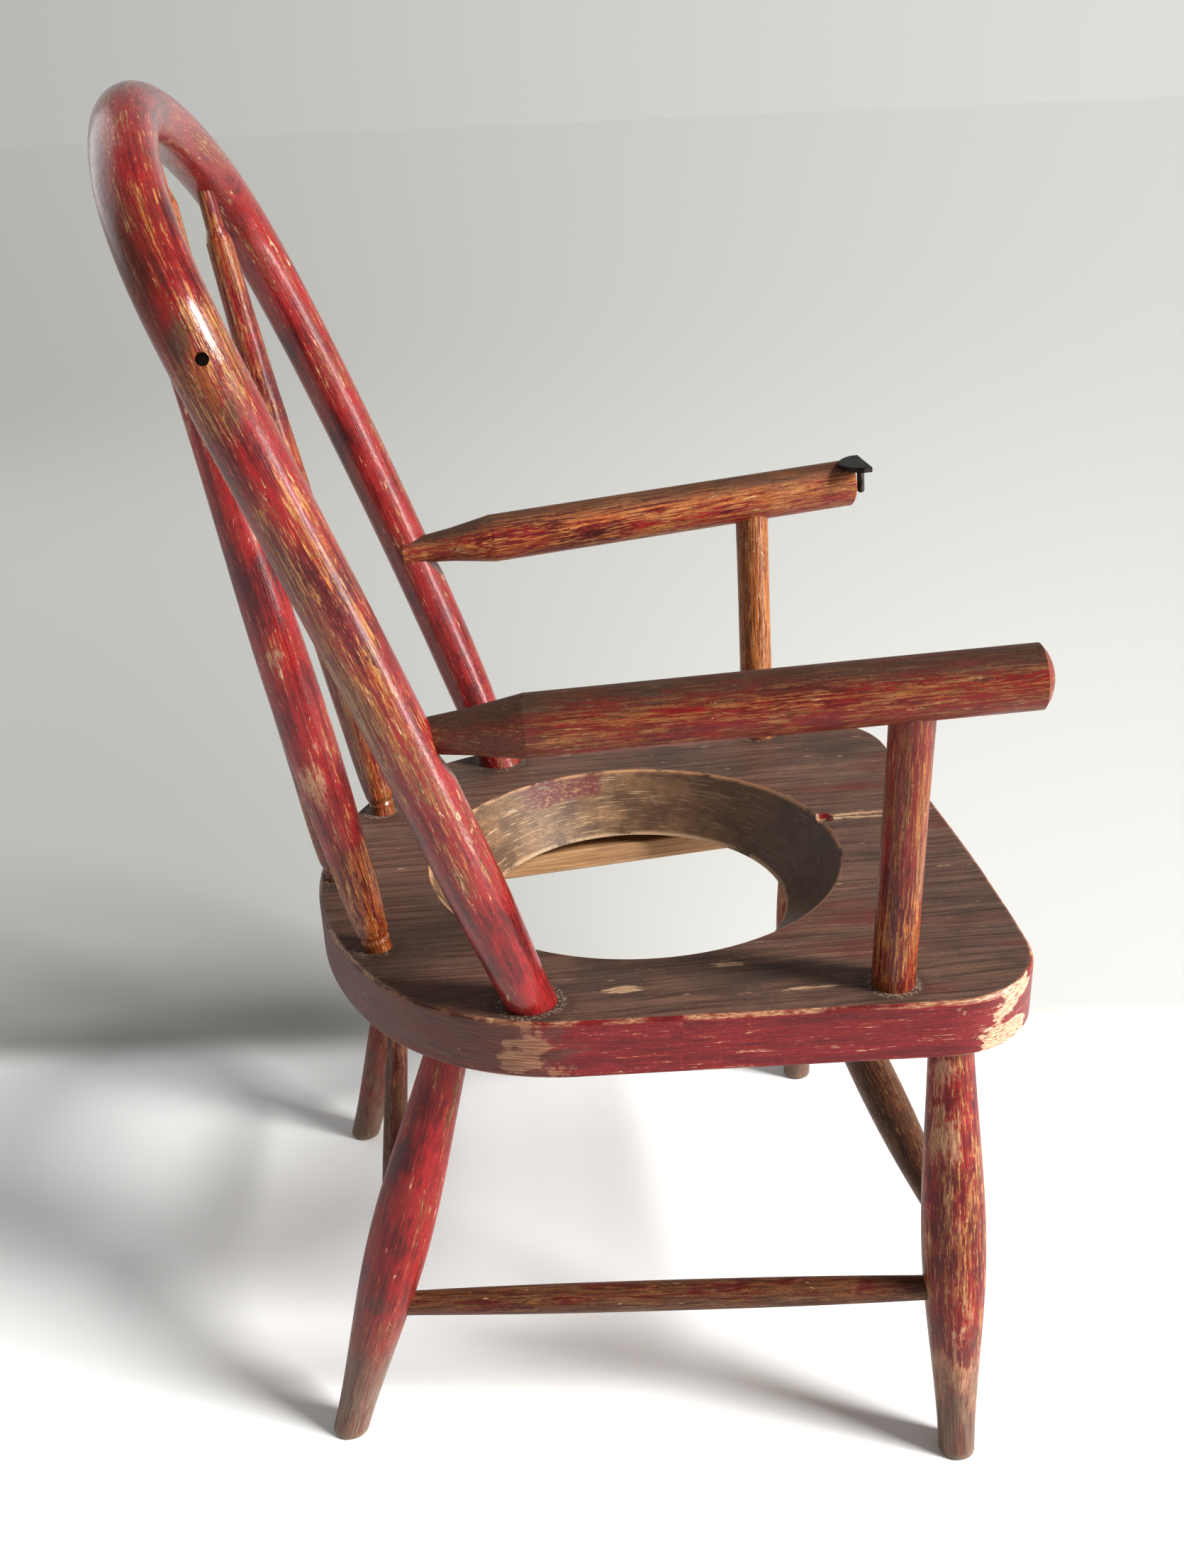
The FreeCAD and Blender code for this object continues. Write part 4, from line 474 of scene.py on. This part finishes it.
    # bare cream patches at the front corners
    cd = T.vec("DISTANCE", T.vec("MULTIPLY", pos, (1, 1, 0.6)), (-0.136, -0.146, 0.128))
    cd2 = T.vec("DISTANCE", T.vec("MULTIPLY", pos, (1, 1, 0.6)), (-0.143, 0.052, 0.122))
    cp = T.step(T.add(cd, T.mul(T.sub(el, 0.5), 0.085)), 0.0135, 0.0095)
    cp2 = T.step(T.add(cd2, T.mul(T.sub(el, 0.5), 0.075)), 0.0170, 0.0125)
    pale = T.mix(T.step(ef, 0.40, 0.62), (0.36, 0.185, 0.105), (0.72, 0.50, 0.33))
    t3 = T.mix(T.mul(cp2, 0.85), t3, T.mix(T.step(es, 0.36, 0.62), (0.170, 0.060, 0.034), (0.400, 0.210, 0.115)))
    t3 = T.mix(T.mul(cp, T.step(ef, 0.36, 0.46)), t3, pale)
    # worn arris: bare wood showing where the edge rounds over, top and bottom
    az = T.m("ABSOLUTE", nz)
    arr = T.mul(T.step(az, 0.10, 0.42), T.step(az, 0.985, 0.86))
    torn = T.add(T.mul(el, 0.55), T.mul(eb, 0.45))
    arr_top = T.mul(arr, T.step(torn, 0.46, 0.58))
    wornc = T.mix(T.step(ef, 0.38, 0.62), (0.24, 0.100, 0.055), (0.60, 0.37, 0.21))

    # ---- underside: bare dusty board
    t4 = T.mix(T.step(fibre, 0.32, 0.70), (0.150, 0.085, 0.048), (0.300, 0.190, 0.110))
    t4 = T.mix(T.mul(T.step(blotch, 0.45, 0.66), 0.5), t4, (0.12, 0.07, 0.045))

    top_f = T.step(nz, 0.86, 0.975)
    low_f = T.step(nz, -0.86, -0.975)
    col = T.mix(top_f, t3, t1)
    col = T.mix(T.mul(T.mul(arr_top, T.inv(in_hole)), 0.80), col, wornc)
    col = T.mix(low_f, col, t4)
    wall = T.mul(in_hole, T.mul(T.step(nz, 0.985, 0.94), T.step(nz, 0.2, 0.45)))
    col = T.mix(wall, col, t2)
    gl = T.add(0.50, T.mul(T.sub(fine, 0.5), 0.35))
    rough = T.add(gl, T.mul(top_f, 0.08))
    rough = T.sub(rough, T.mul(T.mul(T.inv(top_f), T.inv(in_hole)), 0.10))
    h = T.add(T.mul(fibre, 0.55), T.mul(fine, 0.20))
    h = T.add(h, T.mul(fl, -0.35))
    h = T.add(h, T.mul(T.mul(T.inv(top_f), T.add(sc, T.mul(cp, 1.0))), -0.5))
    h = T.mix(wall, T.join(h, h, h), T.join(T.mul(hs, 0.9), T.mul(hs, 0.9), T.mul(hs, 0.9)))
    h = T.split(h)[0]
    n = T.bump(h, 0.00035, 0.8)
    n = T.bump(T.add(blotch, T.mul(wide, 0.6)), 0.0016, 0.45, n)
    return T.finish(col, rough, n, coat=0.06, coat_rough=0.35, spec=0.42)


def iron_mat():
    T = Tree("forged_iron")
    P = T.obj()
    a = T.noise(T.vec("MULTIPLY", P, (260, 260, 260)), 4, 0.6)
    b = T.noise(T.vec("MULTIPLY", P, (1500, 1500, 1500)), 4, 0.65)
    c = T.noise(T.vec("MULTIPLY", P, (90, 90, 90)), 3, 0.5)
    col = T.mix(T.step(a, 0.35, 0.68), (0.018, 0.016, 0.015), (0.060, 0.052, 0.047))
    col = T.mix(T.mul(T.step(T.add(T.mul(c, 0.6), T.mul(b, 0.4)), 0.54, 0.68), 0.55), col, (0.115, 0.055, 0.030))
    rough = T.add(0.30, T.mul(b, 0.35))
    n = T.bump(T.add(T.mul(a, 0.7), T.mul(b, 0.3)), 0.0005, 0.6)
    return T.finish(col, rough, n, spec=0.6, metallic=0.75)


def screw_mat():
    T = Tree("old_screw")
    P = T.obj()
    a = T.noise(T.vec("MULTIPLY", P, (500, 500, 500)), 4, 0.6)
    b = T.noise(T.vec("MULTIPLY", P, (2000, 2000, 2000)), 4, 0.65)
    col = T.mix(T.step(a, 0.35, 0.62), (0.11, 0.090, 0.075), (0.165, 0.065, 0.028))
    rough = T.add(0.42, T.mul(b, 0.35))
    n = T.bump(T.add(T.mul(a, 0.5), T.mul(b, 0.5)), 0.0003, 0.6)
    return T.finish(col, rough, n, spec=0.5, metallic=0.55)


def bare_mat(seed):
    T = Tree("bare_runner_%d" % seed)
    P = T.vec("ADD", T.attr("grain"), (seed * 0.31, seed * 0.17, seed * 0.9))
    fibre = T.noise(T.vec("MULTIPLY", P, (1300, 1300, 34)), 4, 0.62)
    band = T.noise(T.vec("MULTIPLY", P, (300, 300, 10)), 5, 0.6)
    blot = T.noise(T.vec("MULTIPLY", P, (40, 40, 22)), 5, 0.6)
    fine = T.noise(T.vec("MULTIPLY", P, (2600, 2600, 200)), 3, 0.6)
    ring = T.m("SINE", T.mul(T.add(T.split(P)[0], T.mul(T.noise(T.vec("MULTIPLY", P, (25, 25, 6)), 3, 0.5), 0.03)), 1500))
    col = T.mix(T.step(fibre, 0.32, 0.70), (0.26, 0.135, 0.062), (0.46, 0.27, 0.135))
    col = T.mix(T.mul(T.step(ring, 0.1, 0.9), 0.22), col, (0.22, 0.11, 0.05))
    col = T.mix(T.mul(T.step(band, 0.48, 0.70), 0.4), col, (0.55, 0.36, 0.20))
    col = T.mix(T.mul(T.step(blot, 0.50, 0.72), 0.45), col, (0.15, 0.085, 0.05))
    col = T.mix(T.mul(T.step(fine, 0.60, 0.70), 0.4), col, (0.10, 0.05, 0.03))
    rough = T.add(0.58, T.mul(T.sub(fine, 0.5), 0.3))
    n = T.bump(T.add(T.mul(fibre, 0.6), T.mul(fine, 0.3)), 0.0003, 0.7)
    return T.finish(col, rough, n, spec=0.35)


FOOT = (0.120, 0.078, 0.055)
MATS = {
    "back_bow": stick("bow_old_paint", 1, cover=0.70, grime=0.34, gold=0.80, gloss=0.20, coat=0.75, calm=0.8, wood=(ORANGE_DEEP, (0.400, 0.108, 0.020), (0.520, 0.270, 0.085)), spots=(
        (-0.1365, 0.1300, 0.484, 0.017, 0.12), (-0.150, 0.100, 0.405, 0.040, 0.07), (-0.150, 0.085, 0.350, 0.030, 0.04),
        (-0.120, 0.135, 0.525, 0.030, 0.05), (-0.130, 0.045, 0.255, 0.030, -0.15)),
        soil=((-0.128, 0.172, 0.520, 0.040, 0.55), (-0.100, 0.182, 0.560, 0.030, 0.35), (-0.1400, 0.1235, 0.470, 0.005, 0.60), (-0.137, 0.137, 0.494, 0.005, 0.60))),
    "spindle_right": stick("spindle_right_old_paint", 2, cover=0.74, grime=0.22, gold=0.80, gloss=0.26, coat=0.45, patches=0.5, zones=((2, 0.300, 0.262, 0.16),)),
    "spindle_centre": stick("spindle_centre_old_paint", 3, cover=0.44, grime=0.18, gold=0.60, gloss=0.20, coat=0.70),
    "spindle_left": stick("spindle_left_old_paint", 4, cover=0.48, grime=0.18, gold=0.60, gloss=0.20, coat=0.70),
    "arm_right": stick("arm_right_old_paint", 5, cover=0.54, grime=0.25, gold=0.30, gloss=0.34, coat=0.10, top_dirt=0.80, dash=2.4, calm=0.25, red=(MAROON, (0.110, 0.007, 0.007), (0.240, 0.014, 0.012), (0.360, 0.045, 0.026)), wood=((0.105, 0.026, 0.009), (0.340, 0.105, 0.032), (0.440, 0.190, 0.070)), soil=((-0.134, 0.052, 0.335, 0.034, 0.5),)),
    "arm_left": stick("arm_left_old_paint", 6, cover=0.38, grime=0.16, gold=0.50, gloss=0.32, coat=0.15, top_dirt=0.80, dash=2.4, calm=0.25, wood=((0.150, 0.036, 0.010), (0.48, 0.145, 0.034), (0.58, 0.270, 0.095)), zones=((2, 0.366, 0.358, -0.06),), soil=((0.140, 0.060, 0.345, 0.034, 0.4),)),
    "arm_post_right": stick("post_right_old_paint", 7, cover=0.54, grime=0.40, gold=0.50, gloss=0.26, coat=0.25, calm=0.7, red=(MAROON, (0.100, 0.007, 0.008), (0.250, 0.014, 0.012), (0.400, 0.045, 0.022)), wood=((0.120, 0.024, 0.007), (0.420, 0.110, 0.018), (0.500, 0.230, 0.070))),
    "arm_post_left": stick("post_left_old_paint", 8, cover=0.34, grime=0.14, gold=0.85, gloss=0.24, coat=0.30, wood=((0.150, 0.040, 0.010), (0.46, 0.150, 0.034), (0.56, 0.290, 0.100))),
    "leg_front_right": stick("leg_front_right_old_paint", 9, cover=0.62, grime=0.16, gold=0.8, gloss=0.38, coat=0.06, calm=0.9, low_bare=(0.010, 0.090, FOOT), patches=1.0, wood=((0.120, 0.032, 0.012), (0.380, 0.125, 0.045), (0.500, 0.260, 0.130)), spots=((-0.165, -0.135, 0.125, 0.030, 0.05),)),
    "leg_front_left": stick("leg_front_left_old_paint", 10, cover=0.55, grime=0.34, gold=0.50, gloss=0.38, coat=0.08, low_bare=(0.02, 0.09, FOOT), patches=0.4),
    "leg_back_right": stick("leg_back_right_old_paint", 11, cover=0.74, grime=0.26, gold=0.60, gloss=0.36, coat=0.10, low_bare=(0.015, 0.100, FOOT)),
    "leg_back_left": stick("leg_back_left_old_paint", 12, cover=0.60, grime=0.34, gold=0.45, gloss=0.38, coat=0.08, low_bare=(0.02, 0.09, FOOT)),
    "stretcher_right": stick("stretcher_right_old_paint", 13, cover=0.40, grime=0.34, gold=0.25, gloss=0.40, coat=0.06, dash=1.4, wood=BROWN, red=DULL),
    "stretcher_left": stick("stretcher_left_old_paint", 14, cover=0.46, grime=0.40, gold=0.30, gloss=0.42, coat=0.05, wood=BROWN, red=DULL),
    "stretcher_front": stick("stretcher_front_old_paint", 15, cover=0.36, grime=0.40, gold=0.40, gloss=0.40, coat=0.06, top_dirt=0.2, wood=BROWN, red=DULL),
    "stretcher_back": stick("stretcher_back_old_paint", 16, cover=0.50, grime=0.40, gold=0.30, gloss=0.42, coat=0.05, wood=BROWN, red=DULL),
    "seat_plank_right": seat_mat("seat_right_old_paint", 1),
    "seat_plank_left": seat_mat("seat_left_old_paint", 2),
    "bar_keeper": iron_mat(),
    "runner_screws": screw_mat(),
    "pot_runner_right": bare_mat(1),
    "pot_runner_left": bare_mat(2),
}
for name, o in NODES.items():
    o.data.materials.clear()
    o.data.materials.append(MATS[name])


# ========================================================================= floor
def floor_mat():
    T = Tree("paper_floor")
    P = T.obj()
    x, y, z = T.split(P)
    a = T.noise(T.vec("MULTIPLY", P, (5, 5, 5)), 3, 0.5)
    b = T.noise(T.vec("MULTIPLY", P, (900, 900, 900)), 2, 0.5)
    col = T.mix(a, (0.86, 0.862, 0.865), (0.91, 0.91, 0.91))
    r = T.m("SQRT", T.add(T.mul(x, x), T.mul(y, y)))
    # grey region beyond a line, and the far floor, stand in for the backdrop wall: painted wall shade, darker towards
    # +Y away from the window light, paler towards -Y
    wall_grey_and_shade = T.mix(T.step(T.m("DIVIDE", y, T.add(r, 0.02)), 0.55, -0.65), (0.400, 0.400, 0.388), (0.665, 0.665, 0.650))
    line = T.sub(x, T.add(0.1905, T.mul(y, 0.0995)))
    back = T.m("MAXIMUM", T.step(line, -0.015, 0.025), T.step(r, 0.80, 2.6))
    col = T.mix(back, col, wall_grey_and_shade)
    n = T.bump(b, 0.0001, 0.2)
    return T.finish(col, 0.8, n, spec=0.0)


me = bpy.data.meshes.new("studio_floor")
S = 45.0
N = 40
vs = [(-S + 2 * S * i / N, -S + 2 * S * j / N, -0.0002) for j in range(N + 1) for i in range(N + 1)]
fs = [(j * (N + 1) + i, j * (N + 1) + i + 1, (j + 1) * (N + 1) + i + 1, (j + 1) * (N + 1) + i) for j in range(N) for i in range(N)]
me.from_pydata(vs, [], fs)
floor = bpy.data.objects.new("studio_floor", me)
scene.collection.objects.link(floor)
me.materials.append(floor_mat())


# ================================================================ light and camera
def area(name, loc, target, size, power, color=(1, 1, 1)):
    li = bpy.data.lights.new(name, "AREA")
    li.shape = "RECTANGLE"
    li.size, li.size_y = size
    li.energy = power
    li.color = color
    ob = bpy.data.objects.new(name, li)
    scene.collection.objects.link(ob)
    ob.location = loc
    ob.rotation_euler = (Vector(target) - Vector(loc)).to_track_quat("-Z", "Y").to_euler()
    return ob


sun = bpy.data.lights.new("window_sun", "SUN")
sun.energy = 4.0
sun.angle = math.radians(17)
sun.color = (1.0, 0.99, 0.97)
sob = bpy.data.objects.new("window_sun", sun)
scene.collection.objects.link(sob)
sob.rotation_euler = Vector((0.42, 0.78, -0.62)).to_track_quat("-Z", "Y").to_euler()
area("window", (-0.66, -1.30, 0.52), (-0.05, 0.0, 0.36), (0.17, 0.95), 13, (1.0, 0.99, 0.97))
area("fill", (1.1, 1.5, 1.3), (0.0, 0.0, 0.25), (1.8, 1.8), 9, (0.97, 0.985, 1.0))
world = bpy.data.worlds.new("studio")
scene.world = world
world.use_nodes = True
wt = world.node_tree
bg = wt.nodes["Background"]
tc = wt.nodes.new("ShaderNodeTexCoord")
sx = wt.nodes.new("ShaderNodeSeparateXYZ")
wt.links.new(tc.outputs["Generated"], sx.inputs[0])


def wmap(src, a, b, lo, hi):
    n = wt.nodes.new("ShaderNodeMapRange")
    n.interpolation_type = "SMOOTHSTEP"
    wt.links.new(src, n.inputs[0])
    for k, v in enumerate((a, b, lo, hi)):
        n.inputs[k + 1].default_value = v
    return n.outputs[0]


side = wmap(sx.outputs[1], 0.55, -0.65, 0.385, 0.650)
high = wmap(sx.outputs[2], 0.10, 0.50, 1.0, 0.36)
mul = wt.nodes.new("ShaderNodeMath")
mul.operation = "MULTIPLY"
wt.links.new(side, mul.inputs[0])
wt.links.new(high, mul.inputs[1])
wt.links.new(mul.outputs[0], bg.inputs[1])
bg.inputs[0].default_value = (1.0, 1.0, 0.97, 1)
scene.view_settings.view_transform = "Standard"
scene.view_settings.look = "Medium High Contrast"
scene.view_settings.exposure = 0.0

yaw, pitch, roll, focal = -0.0895271, -0.4260100, -0.0413731, 2126.93
eye = Vector((-0.63837 + SHIFT[0], 0.03965 + SHIFT[1], 0.55889))
fwd = Vector((math.cos(yaw) * math.cos(pitch), math.sin(yaw) * math.cos(pitch), math.sin(pitch)))
rt = fwd.cross(Vector((0, 0, 1))).normalized()
up = rt.cross(fwd)
rx = rt * math.cos(roll) + up * math.sin(roll)
uy = -rt * math.sin(roll) + up * math.cos(roll)
cam = bpy.data.cameras.new("camera")
cam.sensor_width = 36.0
cam.lens = focal / 2212.0 * 36.0
cam.clip_start = 0.01
cam.clip_end = 60
cob = bpy.data.objects.new("camera", cam)
scene.collection.objects.link(cob)
cob.matrix_world = Matrix(((rx.x, uy.x, -fwd.x, eye.x), (rx.y, uy.y, -fwd.y, eye.y), (rx.z, uy.z, -fwd.z, eye.z), (0, 0, 0, 1)))
scene.camera = cob
